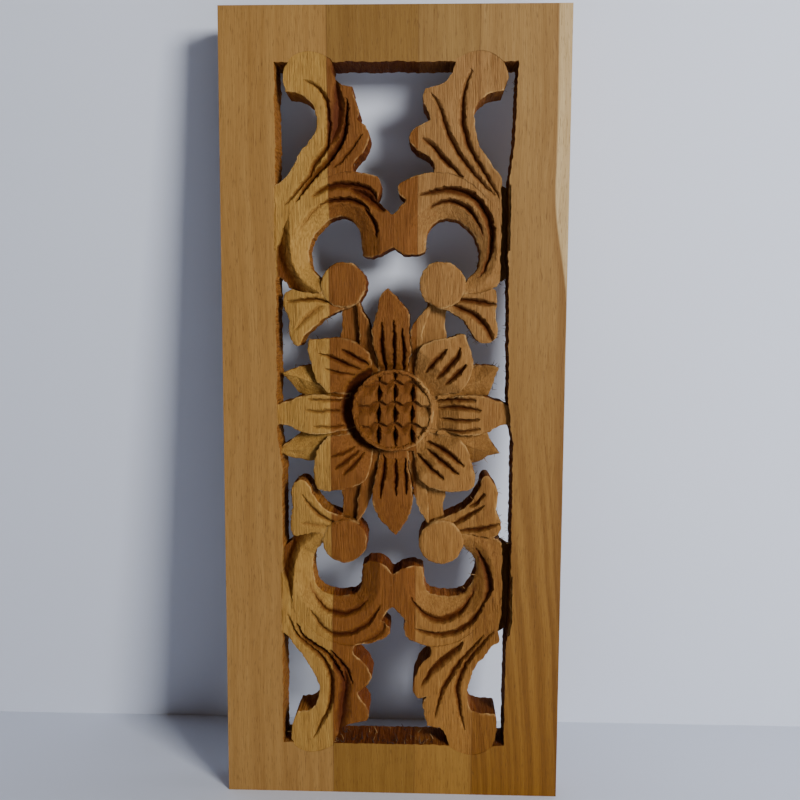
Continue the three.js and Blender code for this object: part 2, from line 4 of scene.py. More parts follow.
import bpy
import numpy as np
from bpy.props import FloatProperty, FloatVectorProperty, PointerProperty
from mathutils import Matrix, Quaternion, Vector, noise
from mathutils.geometry import delaunay_2d_cdt


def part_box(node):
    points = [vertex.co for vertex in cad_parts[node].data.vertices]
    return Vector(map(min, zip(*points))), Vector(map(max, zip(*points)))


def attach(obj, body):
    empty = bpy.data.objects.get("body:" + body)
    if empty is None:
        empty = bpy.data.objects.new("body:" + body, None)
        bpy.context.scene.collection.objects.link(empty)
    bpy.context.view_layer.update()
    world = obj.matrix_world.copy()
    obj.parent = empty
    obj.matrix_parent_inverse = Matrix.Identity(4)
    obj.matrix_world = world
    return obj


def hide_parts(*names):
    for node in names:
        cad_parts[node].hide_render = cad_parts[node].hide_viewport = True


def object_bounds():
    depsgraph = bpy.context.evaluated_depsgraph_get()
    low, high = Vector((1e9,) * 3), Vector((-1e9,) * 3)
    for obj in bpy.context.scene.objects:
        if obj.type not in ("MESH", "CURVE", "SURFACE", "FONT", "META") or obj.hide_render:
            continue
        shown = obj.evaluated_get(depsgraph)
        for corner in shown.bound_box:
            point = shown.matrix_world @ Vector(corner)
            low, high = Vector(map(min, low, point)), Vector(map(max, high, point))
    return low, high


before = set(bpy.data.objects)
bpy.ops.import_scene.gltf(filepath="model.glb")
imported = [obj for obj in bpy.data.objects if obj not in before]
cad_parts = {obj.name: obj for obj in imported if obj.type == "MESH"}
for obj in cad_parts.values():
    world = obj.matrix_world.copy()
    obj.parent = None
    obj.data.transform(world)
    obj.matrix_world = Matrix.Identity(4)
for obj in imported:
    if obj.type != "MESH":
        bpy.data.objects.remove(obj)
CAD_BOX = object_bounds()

bl_info = {
    "name": "Carved fretwork grille",
    "version": (1, 0, 0),
    "blender": (4, 5, 0),
    "location": "3D View > Sidebar > Grille",
    "description": "Models a pierced and carved teak panel around its packed frame",
    "category": "Object",
}

MM = 0.001
PANEL_LOW, PANEL_HIGH = (np.array(corner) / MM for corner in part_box("carved_panel"))
WIDTH, FACE, HEIGHT = PANEL_HIGH - PANEL_LOW


def linear(code):
    """The linear colour of an sRGB hex code."""
    shares = [int(code[place:place + 2], 16) / 255 for place in (1, 3, 5)]
    return [s / 12.92 if s <= 0.04045 else ((s + 0.055) / 1.055) ** 2.4 for s in shares]


class GrilleSizes(bpy.types.PropertyGroup):
    stile_width: FloatProperty(
        name="Stile width", description="Width of the plain border at each side",
        default=20.7 * MM, unit="LENGTH")
    rail_height: FloatProperty(
        name="Rail height", description="Height of the plain border at top and bottom",
        default=20.3 * MM, unit="LENGTH")
    point_spacing: FloatProperty(
        name="Carving fineness", description="Spacing of the mesh points on carved wood",
        default=0.62 * MM, unit="LENGTH")
    edge_wear: FloatProperty(
        name="Edge wear", description="Radius that knife and handling leave on carved edges",
        default=0.28 * MM, unit="LENGTH")


# The drawing: one quarter of the carving in millimetres, as [across, up] from the panel's middle.
# Each outline is made of smooth runs with a corner between two runs.
OUTLINE_STEP = 0.6
DRAWN_HALF_WIDTH = 44.3
DRAWN_HALF_HEIGHT = 130.7

LEAF_HEAD_ARC = [(39.8, 120.3), (41, 125), (40, 129.6), (37, 133), (32.3, 134.5), (27.3, 133.7), (23, 131.5)]
LEAF = [
    [(23, 131.5), (21.3, 126.5), (18.6, 123.6), (13, 122.3)],
    [(13, 122.3), (12, 118), (12.5, 113.5), (13.4, 110)],
    [(13.4, 110), (9.4, 107.4), (7.6, 104), (9.8, 99.5), (14.8, 94.6), (15, 91)],
    [(22, 82), (37, 66)],
    [(45, 62), (45, 86)],
    [(43.5, 87), (39, 90.8), (35, 95.8), (31, 101.6), (28.7, 107.5), (29, 112.5), (31, 116.3), (35, 119.3),
     (39.8, 120.3)],
    LEAF_HEAD_ARC,
]
EYE_RIM = [
    (12, 60.5), (12.2, 65.5), (13.2, 70), (17, 73.2), (22.5, 73.5), (27.5, 71.2), (31, 67), (32.6, 61.3),
    (31.5, 55.8), (28.5, 52.3),
]
SCROLL = [
    [(15, 91.4), (9, 90.2), (4.6, 88), (3, 85), (4.8, 81)],
    [(4.8, 81), (1.8, 77.2), (0, 75.4)],
    [(0, 62.6), (0.6, 62.4), (4, 60.2), (8.5, 59.3), (12, 60.5)],
    EYE_RIM,
    [(24, 46), (31, 46)],
    [(40.2, 48.3), (41.4, 50.6)],
    [(45, 53), (45, 62)],
    [(43, 66), (40.6, 73), (36.6, 79.6), (31, 85.2), (24, 89.6), (15, 91.4)],
]
SCROLL_CREST = [(41.4, 84), (40.2, 78), (39.4, 71), (38.8, 64), (37, 57), (33.4, 51), (28, 46)]
# The saw cut between the right scrolls and the stile
SAW_SLOT = [[(41.1, 48.8), (41.3, 60), (41.4, 76)], [(40.6, 84), (42.4, 93)], [(45, 93)], [(45, 48.8)]]
CALYX = [
    [(18, 46), (25, 48.6), (30.5, 49), (36, 48.4), (40, 46.6), (41, 42.5), (40, 38.6), (39.3, 36)],
    [(39.3, 36), (39.6, 31), (37, 27.4), (34, 27), (31.5, 31), (27, 36), (21.5, 39.2), (16, 41)],
]
BUD_CENTRE = (18.7, 49.4)
BUD_RADIUS = 8.6
STEM = [
    [(14, 46), (20.5, 42)],
    [(20.5, 42), (19.6, 36), (20.6, 29)],
    [(15, 18), (8, 20)],
    [(10, 30), (12, 40)],
]
SIDE_PETAL = [
    [(14.2, 43), (11.2, 38.6), (9.2, 34.4), (8.2, 29.4)],
    [(6.6, 22), (5, 14)],
    [(12, 14), (12.6, 26), (13.6, 34)],
]
UPRIGHT_PETAL = [[(5.6, 14), (6, 20), (7.6, 28), (7.8, 34), (5.6, 40.5), (2.4, 45.6), (0, 48)], [(0, 14)]]
SIDEWAYS_PETAL = [[(14, 5.6), (20, 6.4), (28, 7.6), (35, 7), (40.6, 4.8), (46, 3.7)], [(46, 0), (14, 0)]]
CORNER_PETAL = [
    [(8, 14), (9.2, 22.8), (12.6, 26.8), (18, 29), (24, 29.6), (30.2, 29.3)],
    [(30.2, 29.3), (30.8, 24), (30.2, 18), (28.6, 13), (25, 8.6)],
    [(14, 7)],
]
CORNER_ANGLE = math.radians(44)
SEPAL_TIP = (41.6, 16.6)
SEPAL = [[(17, 11), (26, 19.4)], [(33.4, 18.8), SEPAL_TIP], [(39, 12), (36.6, 7.4)], [(26, 6), (17, 4)]]
SEPAL_RIDGE_ANGLE = math.radians(21)

# The seed head, its trough and its grooves, in the panel's own place
HEAD_CENTRE = (0, 1.8)
HEAD_RADIUS = 15.6
HEAD_RIM = 1.2
CORE_RADIUS = HEAD_RADIUS + 2.9
HEAD_COLUMNS = (-5.6, 0.7, 7.2)
HEAD_COLUMN_HALF_WIDTH = 0.85
HEAD_COLUMN_SWELL = 0.55
HEAD_COLUMN_PITCH = 8.2
HEAD_COLUMN_WAIST = 0.4
HEAD_COLUMN_BEVEL = 3.2
HEAD_ROWS = (12.2, 4.5, -3.7)
HEAD_ROW_DEPTH = 2.2
HEAD_ROW_STEEP = 1
HEAD_ROW_GENTLE = 3.6
HEAD_ROW_LIFT = 0.5
HEAD_ROW_SAG = 0.16
TROUGH_WIDTH, TROUGH_LEFT_WIDENING = 1.8, 3.8
TROUGH_DEPTH, TROUGH_LEFT_DEEPENING = 3.4, 6.6

# How far each surface lies below the face of the board
DROPS = {
    "leaf_head": 0.18, "leaf_tail": 1.35, "scroll": 1.2, "bud": 0.7, "calyx": 0.9, "stem": 6.5,
    "side_petal": 4, "petal_root": 5.2, "petal_crest": 1, "petal_tip": 2.6, "sepal_ridge": 3.2,
    "sepal_edge": 7, "core": 4.8, "head": 0.8, "head_rim": 0.15, "saw_slot": 12,
}
# How much lower still a surface gets towards an end or an edge, and between which places
LEAF_RISE = (80, 118)
EYE_LIP_FALL, EYE_LIP_REACH, EYE_LIP_RISE = 3.8, 7, (46, 56)
LEFT_SHOULDER_FALL, RIGHT_SHOULDER_FALL, SHOULDER_REACH = 5.3, 2, 6
BUD_EDGE_FALL = 0.5
CALYX_FALL, CALYX_ROOT, CALYX_END = 1.1, (20, 30), (36, 42)
SIDE_PETAL_FALL, SIDE_PETAL_ROOT = 2.5, (16, 30)
PETAL_STATIONS = (17, 25, 33, 46)
SEPAL_HALF_WIDTH = 6.5
HEAD_LEFT_FALL, HEAD_LEFT = 0.9, (11, 14.5)

# The gouge cuts in each quarter, no two alike, as (path, width to its left, width to its right, depth)
GOUGE_STEP = 0.8
GOUGE_BLUNTNESS = 0.42
GOUGE_POINT = 0.1
UPPER_LEFT, UPPER_RIGHT, LOWER_LEFT, LOWER_RIGHT = QUARTERS = ((-1, 1), (1, 1), (-1, -1), (1, -1))
LEAF_GOUGES = {
    UPPER_LEFT: [
        ([(33.5, 124.5), (30, 123), (26.5, 119.5), (24.7, 114), (24.2, 108), (25.2, 101), (28.7, 95),
          (33.2, 88), (41, 79)], 0.9, 1.6, 2.6),
        ([(15.5, 118.5), (17.2, 113), (18.2, 107), (19.8, 102), (22.4, 98), (26.2, 93), (31.2, 88), (37, 80)],
         1.7, 1.2, 3.8),
        ([(20, 125), (20.6, 116), (21.4, 108), (23.6, 101)], 3.6, 3.8, 2.9),
        ([(10.5, 104.8), (13, 102.5), (17, 98), (22.5, 92.5)], 0.8, 0.8, 1.5),
    ],
    UPPER_RIGHT: [
        ([(28.6, 128.5), (26.4, 122), (25, 115), (24.6, 109), (26, 104), (29, 98.5), (33, 92), (40, 81)],
         1.2, 1.4, 2.6),
        ([(15, 121), (16.6, 117), (17.8, 112), (20.2, 105), (24, 98), (28, 93), (33, 87), (38, 82.5)],
         1.2, 1.4, 2.3),
        ([(11.5, 104), (14, 101.5), (18, 96.6), (22, 92.6), (26, 89)], 1.4, 1.4, 2.8),
    ],
    LOWER_LEFT: [
        ([(31, 129), (28, 122.5), (25.6, 118), (24.3, 112), (24, 105), (26, 99), (29, 95), (34, 91), (38, 87),
          (42.5, 79)], 1, 1.6, 2.6),
        ([(17, 112.5), (18.6, 107), (20.3, 103), (23.2, 98), (26, 94.5), (31, 91), (35, 88), (38, 82)],
         1.4, 1.4, 3.4),
        ([(15.5, 107), (17.5, 101.5), (21.5, 96.5), (25, 93)], 1.1, 1.1, 2.6),
        ([(21.2, 128), (20.2, 120), (19, 112), (18.2, 105), (19.6, 99)], 2.7, 2.8, 2.6),
    ],
    LOWER_RIGHT: [
        ([(28.6, 124.5), (27, 118), (25.2, 111), (24.7, 107), (27, 101), (31, 95), (35, 90), (39.5, 84.5)],
         1.1, 1.2, 2.2),
        ([(16, 119.5), (18, 115), (19.6, 109), (22, 104), (26, 98), (31, 92), (36, 86)], 1.1, 1.2, 2.2),
        ([(11, 104), (15, 101), (19, 97), (24, 92.8), (28, 89)], 2.2, 1.4, 3.2),
    ],
}
SCROLL_GOUGES = {
    UPPER_LEFT: [
        ([(4, 79), (6.4, 83.4), (12, 86.2), (20, 87), (26, 85.4), (31, 82)], 0.9, 2.4, 3),
        ([(2.4, 76.6), (6, 80.5), (11, 83.5), (17, 85)], 2, 2.4, 3.4),
        ([(8, 77.3), (12, 80), (18, 81.2), (24, 80.8), (28, 79)], 0.9, 2.2, 3),
        ([(25, 79.5), (30, 77), (33.5, 73), (35.5, 69)], 1.2, 1.3, 1),
        ([(11, 78.6), (8.6, 75.5), (7.2, 72), (6.5, 66.5)], 1, 1.3, 3),
    ],
    UPPER_RIGHT: [
        ([(9.5, 82.6), (15, 84.6), (20, 85.2), (25, 84.7), (30, 82.6), (34, 78.4), (36.6, 72.5), (37.3, 66),
          (36.4, 60), (34, 54.5), (31.5, 51.6)], 0.9, 2.9, 4.4),
        ([(13, 77.8), (17, 80), (22, 80.4), (27, 78.6), (30.6, 75), (32.8, 71), (34, 67)], 0.9, 1.7, 3.4),
    ],
    LOWER_LEFT: [
        ([(3.4, 79.6), (6, 85.6), (10, 89.4), (15, 91.2)], 1, 1.8, 1.2),
        ([(4.5, 74.4), (7, 79), (11, 83.6), (17, 86.8), (23, 87), (28, 83.6), (32.5, 77)], 0.8, 1.8, 2),
        ([(8.6, 71.4), (12, 76), (18, 79.4), (23, 79), (27, 77), (30.6, 72), (33.4, 66.5)], 0.8, 1.8, 2.2),
    ],
    LOWER_RIGHT: [
        ([(8, 84.6), (14, 86), (20, 86.5), (26, 84.8), (31, 81), (34.4, 76), (36.4, 71)], 1, 1.8, 2.8),
        ([(7, 71.4), (9, 75), (13, 79), (18, 81), (24, 79.5), (28, 76.2), (31.2, 71), (33.2, 66)], 1, 2, 3),
        ([(35.6, 74), (38, 68), (37.2, 61), (34, 54), (32, 51.4)], 0.9, 3, 3.4),
    ],
}
CALYX_GOUGES = {
    UPPER_LEFT: [
        ([(22.6, 42), (25, 43.2), (29, 43.9), (34, 43.8), (39.5, 43)], 0.9, 1.2, 2),
        ([(26, 41.6), (31, 39), (34, 36), (37, 32.6)], 1.6, 1.8, 1.1),
    ],
    UPPER_RIGHT: [
        ([(22, 43.5), (28, 43.8), (33, 43), (37, 42), (41, 41.3)], 1.1, 1.4, 2.8),
        ([(20.6, 42.4), (26, 40.6), (31, 38.2), (34.4, 35), (36.8, 31.4), (38.2, 27)], 1.2, 1.8, 3),
    ],
    LOWER_LEFT: [
        ([(21, 45), (23.4, 42.2), (27, 40), (31, 37), (35.4, 32)], 1, 1.1, 1.7),
        ([(24.6, 43.6), (30, 43.2), (36, 42.6)], 1.4, 1.5, 0.9),
    ],
    LOWER_RIGHT: [
        ([(25, 45), (32, 44.4), (36.4, 43.4), (40.8, 41.8)], 1.1, 1.4, 2.4),
        ([(21, 43.5), (26, 41), (31, 37.6), (35.4, 35)], 1, 1.1, 2.4),
        ([(29, 35.6), (32, 34), (34.6, 31.8)], 0.9, 1, 2.2),
    ],
}
CORNER_GOUGES = {
    UPPER_LEFT: [
        ([(9.5, 19), (12.4, 20.8), (16, 23), (20, 25)], 1.1, 1.2, 2.4),
        ([(12.6, 17.4), (17, 19.2), (22, 21.3), (27.6, 24)], 1, 1.2, 2.2),
        ([(14.6, 15.2), (20, 16), (26, 17.5)], 0.8, 0.9, 1.5),
    ],
    UPPER_RIGHT: [
        ([(12, 16), (16, 20.5), (20.5, 25.5)], 1.3, 1.3, 2.8),
        ([(16.3, 13.6), (21, 18.5), (26.6, 25)], 1.5, 1.4, 3.2),
        ([(19.6, 11.6), (24, 15.6), (28, 20)], 1.3, 1.3, 3),
    ],
    LOWER_LEFT: [
        ([(11, 15), (15.4, 19.6), (19.6, 23.6)], 1, 1.1, 1.8),
        ([(13, 14), (18, 18), (22.4, 21.4)], 1, 1.1, 1.8),
        ([(14.6, 12.6), (19, 14.8), (24, 16.5)], 0.9, 1, 1.5),
    ],
    LOWER_RIGHT: [
        ([(9, 15), (14, 20), (20, 25)], 1.3, 1.2, 2.8),
        ([(12.8, 13.3), (19, 18), (25.6, 23)], 1.4, 1.3, 3),
        ([(12.8, 10.4), (20, 14), (27.6, 19.6)], 1.5, 1.4, 3),
    ],
}
UPRIGHT_GOUGES = {
    UPPER_LEFT: [([(4.6, 35.5), (4.4, 28), (3.6, 21), (2.8, 15)], 1.2, 1.2, 3)],
    UPPER_RIGHT: [
        ([(0, 36.5), (0.2, 26), (0, 15)], 1.1, 1.1, 2.8),
        ([(3.4, 33.5), (4, 26), (3.6, 16)], 1.1, 1.1, 2.8),
    ],
    LOWER_LEFT: [([(4.8, 32.5), (4.2, 26), (3.2, 20), (4, 15.5)], 1, 1.1, 2.6)],
    LOWER_RIGHT: [
        ([(1.2, 31.5), (1.1, 24), (0.8, 17)], 1, 1, 2.6),
        ([(5.3, 31), (5, 24), (4.4, 17)], 0.9, 0.9, 2.6),
    ],
}
SIDEWAYS_GOUGES = {
    UPPER_LEFT: [
        ([(17, 5.4), (26, 5.5), (33, 5.8)], 0.7, 0.8, 1.4),
        ([(17, 1.6), (27, 1.2), (34, 1.5)], 0.7, 0.8, 1.4),
    ],
    UPPER_RIGHT: [
        ([(16, 5), (24, 6), (32, 5.6)], 1.1, 1.2, 2.4),
        ([(17, 2.6), (26, 3), (34, 1.8)], 1.2, 1.2, 2.4),
    ],
    LOWER_LEFT: [([(17, 4.6), (25, 4.8), (31, 4.6)], 0.7, 0.8, 1.3)],
    LOWER_RIGHT: [
        ([(17, 6), (26, 6.1), (34, 5.2)], 0.8, 0.8, 1.8),
        ([(18, 1.6), (26, 2), (33.5, 1.7)], 1, 1, 2.2),
    ],
}
PARTING_CUT = ([(15, 5.4), (21, 7), (27.5, 8.2)], 1.1, 1.1, 3)

# The carver's hand: pulls on the symmetrical drawing, as (across, up, pull across, pull up)
HAND_REACH = 10
HAND_PULLS = [
    (-13, 121, -2.6, -0.6), (-21, 126, -1.2, 0), (-7.6, 104, -1.4, 0.5), (-34, 98, -1, 0.9),
    (-4, 87, -0.6, 0.6), (-4.8, 80, -1.4, 0), (-20, 74, 0, 1.5), (-4, 61, 0, 1), (-18.7, 49.4, -2.3, 0.6),
    (-41, 42, -1, 0), (-31, 29, -2.4, -1), (-31, 18, -0.8, 0), (-41.6, 16.6, -1.3, -0.6),
    (13, 121, -1.4, -1.2), (7.6, 104, -2, -0.6), (28.7, 109, 1.2, 0.6), (3.4, 87, -1.6, -0.5),
    (20, 74, 0, 0.8), (10, 60, 0, 1.6), (18.7, 49.4, -1.7, -0.4), (41, 43, -1.4, 0.8), (30, 29, -2.6, 1.8),
    (41, 16.6, -0.6, 1.7),
    (-12, -121, 3.2, 1.2), (-38.6, -119.6, 1.7, 2.1), (-8, -103, -0.6, 0.6), (-3, -87, 2.4, 0.3),
    (-6, -59.5, 0, 1.9), (-20, -73.5, 0, 1.4), (-32.4, -60, 1, 1), (-18.7, -49.4, 1.9, 0.9),
    (-35.5, -27, -0.5, 1.8), (-30, -29, 0.8, -0.6), (-41.6, -16.6, -4.2, 1.4),
    (13, -122, 1, -0.7), (39, -119.6, 1, 2.3), (8, -106, 0.4, -4.6), (28.7, -108, 1.2, 0),
    (4.5, -87, 0.8, 0.6), (20, -73, 0, 1.8), (18.7, -49.4, 0.3, -1.5), (36, -27, 0.3, 3.4),
    (30.2, -29, 1.2, 0.4), (41, -16, -1.6, 1.8),
    (0, 46, -2.2, 0.4), (11, 32, -2.2, 0), (0, -46, 1, 1.2), (41, 0, 0, 1.4), (-41, 0, 0, 0.4),
]
# Where the saw wandered along the stiles: (up, how far the edge moved inwards)
LEFT_STILE_WANDER = [(-131, 1.3), (-90, 1.4), (-60, 1.6), (-45, 1.8), (-20, 1.7), (-8, 0), (60, 0), (131, 0)]
RIGHT_STILE_WANDER = [
    (-131, 0.2), (-92, 0), (-80, -1.6), (-10, -1.5), (5, 0.6), (40, 0.7), (60, 1.4), (88, 1.3), (100, -0.3),
    (131, -1.4),
]
# How far every sawn edge strays: in slow waves, and from tooth to tooth
SAW_WOBBLE, SAW_WOBBLE_LENGTH = 0.3, 5
SAW_RAGGEDNESS, SAW_TOOTH_LENGTH = 0.42, 1.4
# The shallow unevenness that gouge and knife leave: (depth, length)
TOOL_MARKS = ((0.16, 3.6), (0.05, 1))
# Where the saw left loose fibres: (left, right, low, high, count, longest fibre)
RAGGED_PLACES = [
    (-23, 22, -134, -128, 70, 3.4), (-14, 14, 128, 134, 26, 1.4), (-44, -30, 118, 134, 16, 1.6),
    (30, 46, 118, 134, 24, 2), (40, 47, 28, 60, 34, 2.2), (38, 47, -62, -40, 34, 2.6),
    (36, 47, 2, 30, 26, 2.6), (26, 40, -72, -50, 26, 3), (-36, -12, -74, -48, 20, 2),
    (24, 42, 16, 34, 26, 3), (-46, -24, 14, 40, 26, 2.6), (-44, -26, -44, -16, 20, 2),
    (24, 42, -40, -14, 24, 2.4), (-44, -28, -134, -116, 14, 2), (28, 46, -134, -116, 16, 2),
    (-34, -8, 56, 76, 14, 1.6), (8, 34, 56, 76, 20, 1.8), (-16, 16, -118, -80, 14, 1.4),
    (-16, 16, 80, 122, 16, 1.6), (-12, 12, -66, 66, 14, 1.6),
]
# One loose fibre, which leans more with each quarter of its length and gets thinner
FIBRE_LENGTH = 2
FIBRE_BENDS = (0.05, 0.2, 0.45, 0.8)
FIBRE_TAPER = 0.74
FIBRE_TIP = Vector((sum(FIBRE_BENDS) / 4, 0, 1))
# How deep a fibre's root is stuck in the wood, and how far its tip stays inside the board's box
FIBRE_SINK = 0.2
FIBRE_MARGIN = 0.2


def share_between(value, low, high):
    """How far a value is from low to high, from 0 to 1."""
    return np.clip((value - low) / (high - low), 0, 1)


def eased(share):
    """A share that starts and ends gently."""
    return share * share * (3 - 2 * share)


def smooth_run(points, step=OUTLINE_STEP):
    """Points on a smooth curve through the given ones, about a step apart."""
    given = np.array(points, float)
    last = len(given) - 1
    made = []
    for place in range(last):
        before, start = given[max(place - 1, 0)], given[place]
        end, after = given[place + 1], given[min(place + 2, last)]
        if last == 1:
            before, after = start, end
        leave, arrive = (end - before) / 2, (after - start) / 2
        if last == 1:
            leave = arrive = end - start
        count = max(1, round(np.linalg.norm(end - start) / step))
        t = (np.arange(count) / count)[:, None]
        made.append((2 * start - 2 * end + leave + arrive) * t ** 3
                    + (3 * end - 3 * start - 2 * leave - arrive) * t ** 2 + leave * t + start)
    made.append(given[-1:])
    return np.vstack(made)


def closed_outline(runs):
    """The points of a closed outline, with straight lines between its runs."""
    pieces = []
    for place, run in enumerate(runs):
        made = smooth_run(run)
        start = np.array(runs[(place + 1) % len(runs)][0], float)
        pieces.append(made)
        if np.linalg.norm(start - made[-1]) > OUTLINE_STEP:
            pieces.append(smooth_run([made[-1], start])[1:-1])
        elif np.linalg.norm(start - made[-1]) < 1e-6:
            pieces[-1] = made[:-1]
    return np.vstack(pieces)


def ring(centre, radius):
    """The points of a circle."""
    count = round(2 * math.pi * radius / OUTLINE_STEP)
    turn = 2 * math.pi * np.arange(count) / count
    return np.column_stack([centre[0] + radius * np.cos(turn), centre[1] + radius * np.sin(turn)])


def inside(points, corners):
    """Which points lie inside a closed outline."""
    result = np.zeros(len(points), bool)
    near = np.flatnonzero(np.all((points >= corners.min(0)) & (points <= corners.max(0)), axis=1))
    x, y = points[near].T
    within = np.zeros(len(near), bool)
    for (x0, y0), (x1, y1) in zip(corners, np.roll(corners, -1, axis=0)):
        crosses = (y0 > y) != (y1 > y)
        if y0 != y1:
            within ^= crosses & (x < (x1 - x0) * (y - y0) / (y1 - y0) + x0)
    result[near] = within
    return result


def from_path(points, path, reach):
    """Distance of each point from a path, positive to its left, and the share of its length there.
    Points beyond the reach get an infinite distance."""
    distance = np.full(len(points), np.inf)
    share = np.zeros(len(points))
    near = np.flatnonzero(np.all((points > path.min(0) - reach) & (points < path.max(0) + reach), axis=1))
    some = points[near]
    starts, steps = path[:-1], np.diff(path, axis=0)
    lengths = np.linalg.norm(steps, axis=1)
    before = np.concatenate([[0], np.cumsum(lengths)])
    best = np.full(len(near), np.inf)
    for start, step, length, walked in zip(starts, steps, lengths, before):
        off = some - start
        along = np.clip(off @ step / length ** 2, 0, 1)
        gap = off - along[:, None] * step
        far = np.hypot(gap[:, 0], gap[:, 1])
        side = np.sign(step[0] * off[:, 1] - step[1] * off[:, 0])
        closer = far < best
        best[closer] = far[closer]
        distance[near[closer]] = (far * np.where(side == 0, 1, side))[closer]
        share[near[closer]] = (walked + along * length)[closer] / before[-1]
    return distance, share


def gouged(points, cuts):
    """How deep a set of gouge cuts goes at each point. A cut swells from its start and runs out."""
    deepest = np.zeros(len(points))
    for path, left, right, depth in cuts:
        distance, share = from_path(points, smooth_run(path, GOUGE_STEP), max(left, right) + 1)
        swell = np.sin(math.pi * np.clip(share, 0, 1)) ** GOUGE_BLUNTNESS
        width = np.where(distance > 0, left, right) * np.maximum(swell, GOUGE_POINT)
        deepest = np.maximum(deepest, depth * swell * np.clip(1 - np.abs(distance) / width, 0, 1))
    return deepest


def level(name):
    """The height function of a flat surface."""
    return lambda points, cuts: np.full(len(points), FACE - DROPS[name])


def petal_height(distance):
    """A petal along its axis: low at the root, full in the middle, sinking to the tip."""
    drops = [DROPS["petal_root"], DROPS["petal_crest"], DROPS["petal_crest"], DROPS["petal_tip"]]
    return FACE - np.interp(distance, PETAL_STATIONS, drops)


def leaf_height(points, cuts):
    rise = np.sqrt(share_between(points[:, 1], *LEAF_RISE))
    drop = DROPS["leaf_tail"] + (DROPS["leaf_head"] - DROPS["leaf_tail"]) * rise
    return FACE - drop - cuts


def shoulder_fall(points, on_left):
    """How far a scroll's outer shoulder sinks towards the stile, more on the left than on the right."""
    beside, _ = from_path(points, smooth_run(SCROLL_CREST), SHOULDER_REACH + 2)
    fall = np.where(on_left, LEFT_SHOULDER_FALL, RIGHT_SHOULDER_FALL)
    return fall * share_between(np.where(np.isinf(beside), 0, beside), 0, SHOULDER_REACH)


def scroll_height(points, cuts):
    beside, _ = from_path(points, smooth_run(EYE_RIM), EYE_LIP_REACH + 1)
    lip = EYE_LIP_FALL * (1 - share_between(np.abs(beside), 0, EYE_LIP_REACH))
    lip *= share_between(points[:, 1], *EYE_LIP_RISE)
    return FACE - DROPS["scroll"] - np.maximum(cuts + 0.4 * lip, lip)


def bud_height(points, cuts):
    out = np.hypot(*(points - BUD_CENTRE).T) / BUD_RADIUS
    return FACE - DROPS["bud"] - BUD_EDGE_FALL * np.clip(out, 0, 1) ** 6


def calyx_height(points, cuts):
    ends = 1 - share_between(points[:, 0], *CALYX_ROOT) + share_between(points[:, 0], *CALYX_END)
    return FACE - DROPS["calyx"] - CALYX_FALL * ends - cuts


def side_petal_height(points, cuts):
    return FACE - DROPS["side_petal"] - SIDE_PETAL_FALL * (1 - share_between(points[:, 1], *SIDE_PETAL_ROOT))


def upright_petal_height(points, cuts):
    return petal_height(points[:, 1]) - cuts


def sideways_petal_height(points, cuts):
    return petal_height(points[:, 0]) - cuts


def corner_petal_height(points, cuts):
    along = points @ (math.cos(CORNER_ANGLE), math.sin(CORNER_ANGLE))
    return petal_height(along) - np.maximum(cuts, gouged(points, [PARTING_CUT]))


def sepal_height(points, cuts):
    turn = math.pi / 2 + SEPAL_RIDGE_ANGLE
    off = (points - SEPAL_TIP) @ (math.cos(turn), math.sin(turn))
    slope = (DROPS["sepal_edge"] - DROPS["sepal_ridge"]) / SEPAL_HALF_WIDTH
    return FACE - DROPS["sepal_ridge"] - slope * np.abs(off)


# The parts of the drawing, from the uppermost to the lowest where two overlap: each with its outline,
# and its height above the back at given points with given depths of cut
PARTS = [
    ("saw_slot", closed_outline(SAW_SLOT), level("saw_slot")),
    ("bud", ring(BUD_CENTRE, BUD_RADIUS), bud_height),
    ("upright_petal", closed_outline(UPRIGHT_PETAL), upright_petal_height),
    ("sideways_petal", closed_outline(SIDEWAYS_PETAL), sideways_petal_height),
    ("corner_petal", closed_outline(CORNER_PETAL), corner_petal_height),
    ("scroll", closed_outline(SCROLL), scroll_height),
    ("calyx", closed_outline(CALYX), calyx_height),
    ("leaf", closed_outline(LEAF), leaf_height),
    ("sepal", closed_outline(SEPAL), sepal_height),
    ("side_petal", closed_outline(SIDE_PETAL), side_petal_height),
    ("stem", closed_outline(STEM), level("stem")),
    ("core", ring((0, 0), CORE_RADIUS), level("core")),
]
GOUGES = {
    "leaf": LEAF_GOUGES, "scroll": SCROLL_GOUGES, "calyx": CALYX_GOUGES, "corner_petal": CORNER_GOUGES,
    "upright_petal": UPRIGHT_GOUGES, "sideways_petal": SIDEWAYS_GOUGES,
}
# The depth at which a cut's end grain and painted shade are as dark as they get, and how wide the paler wood
# of edge wear and painted highlight along an edge is
FULL_CUT = 3
WEAR_AND_HIGHLIGHT_WIDTH = 0.5
PLANED, CARVED, SAWN = range(3)
HEAD, BORDER, OPEN = len(PARTS), len(PARTS) + 1, -1


def head_row(row, across):
    """The sagging bottom line of a row of scallops across the seed head."""
    nearest = np.min([np.abs(across - column) for column in HEAD_COLUMNS], axis=0)
    return row + HEAD_ROW_LIFT - HEAD_ROW_SAG * np.minimum(nearest, 3.5) ** 2


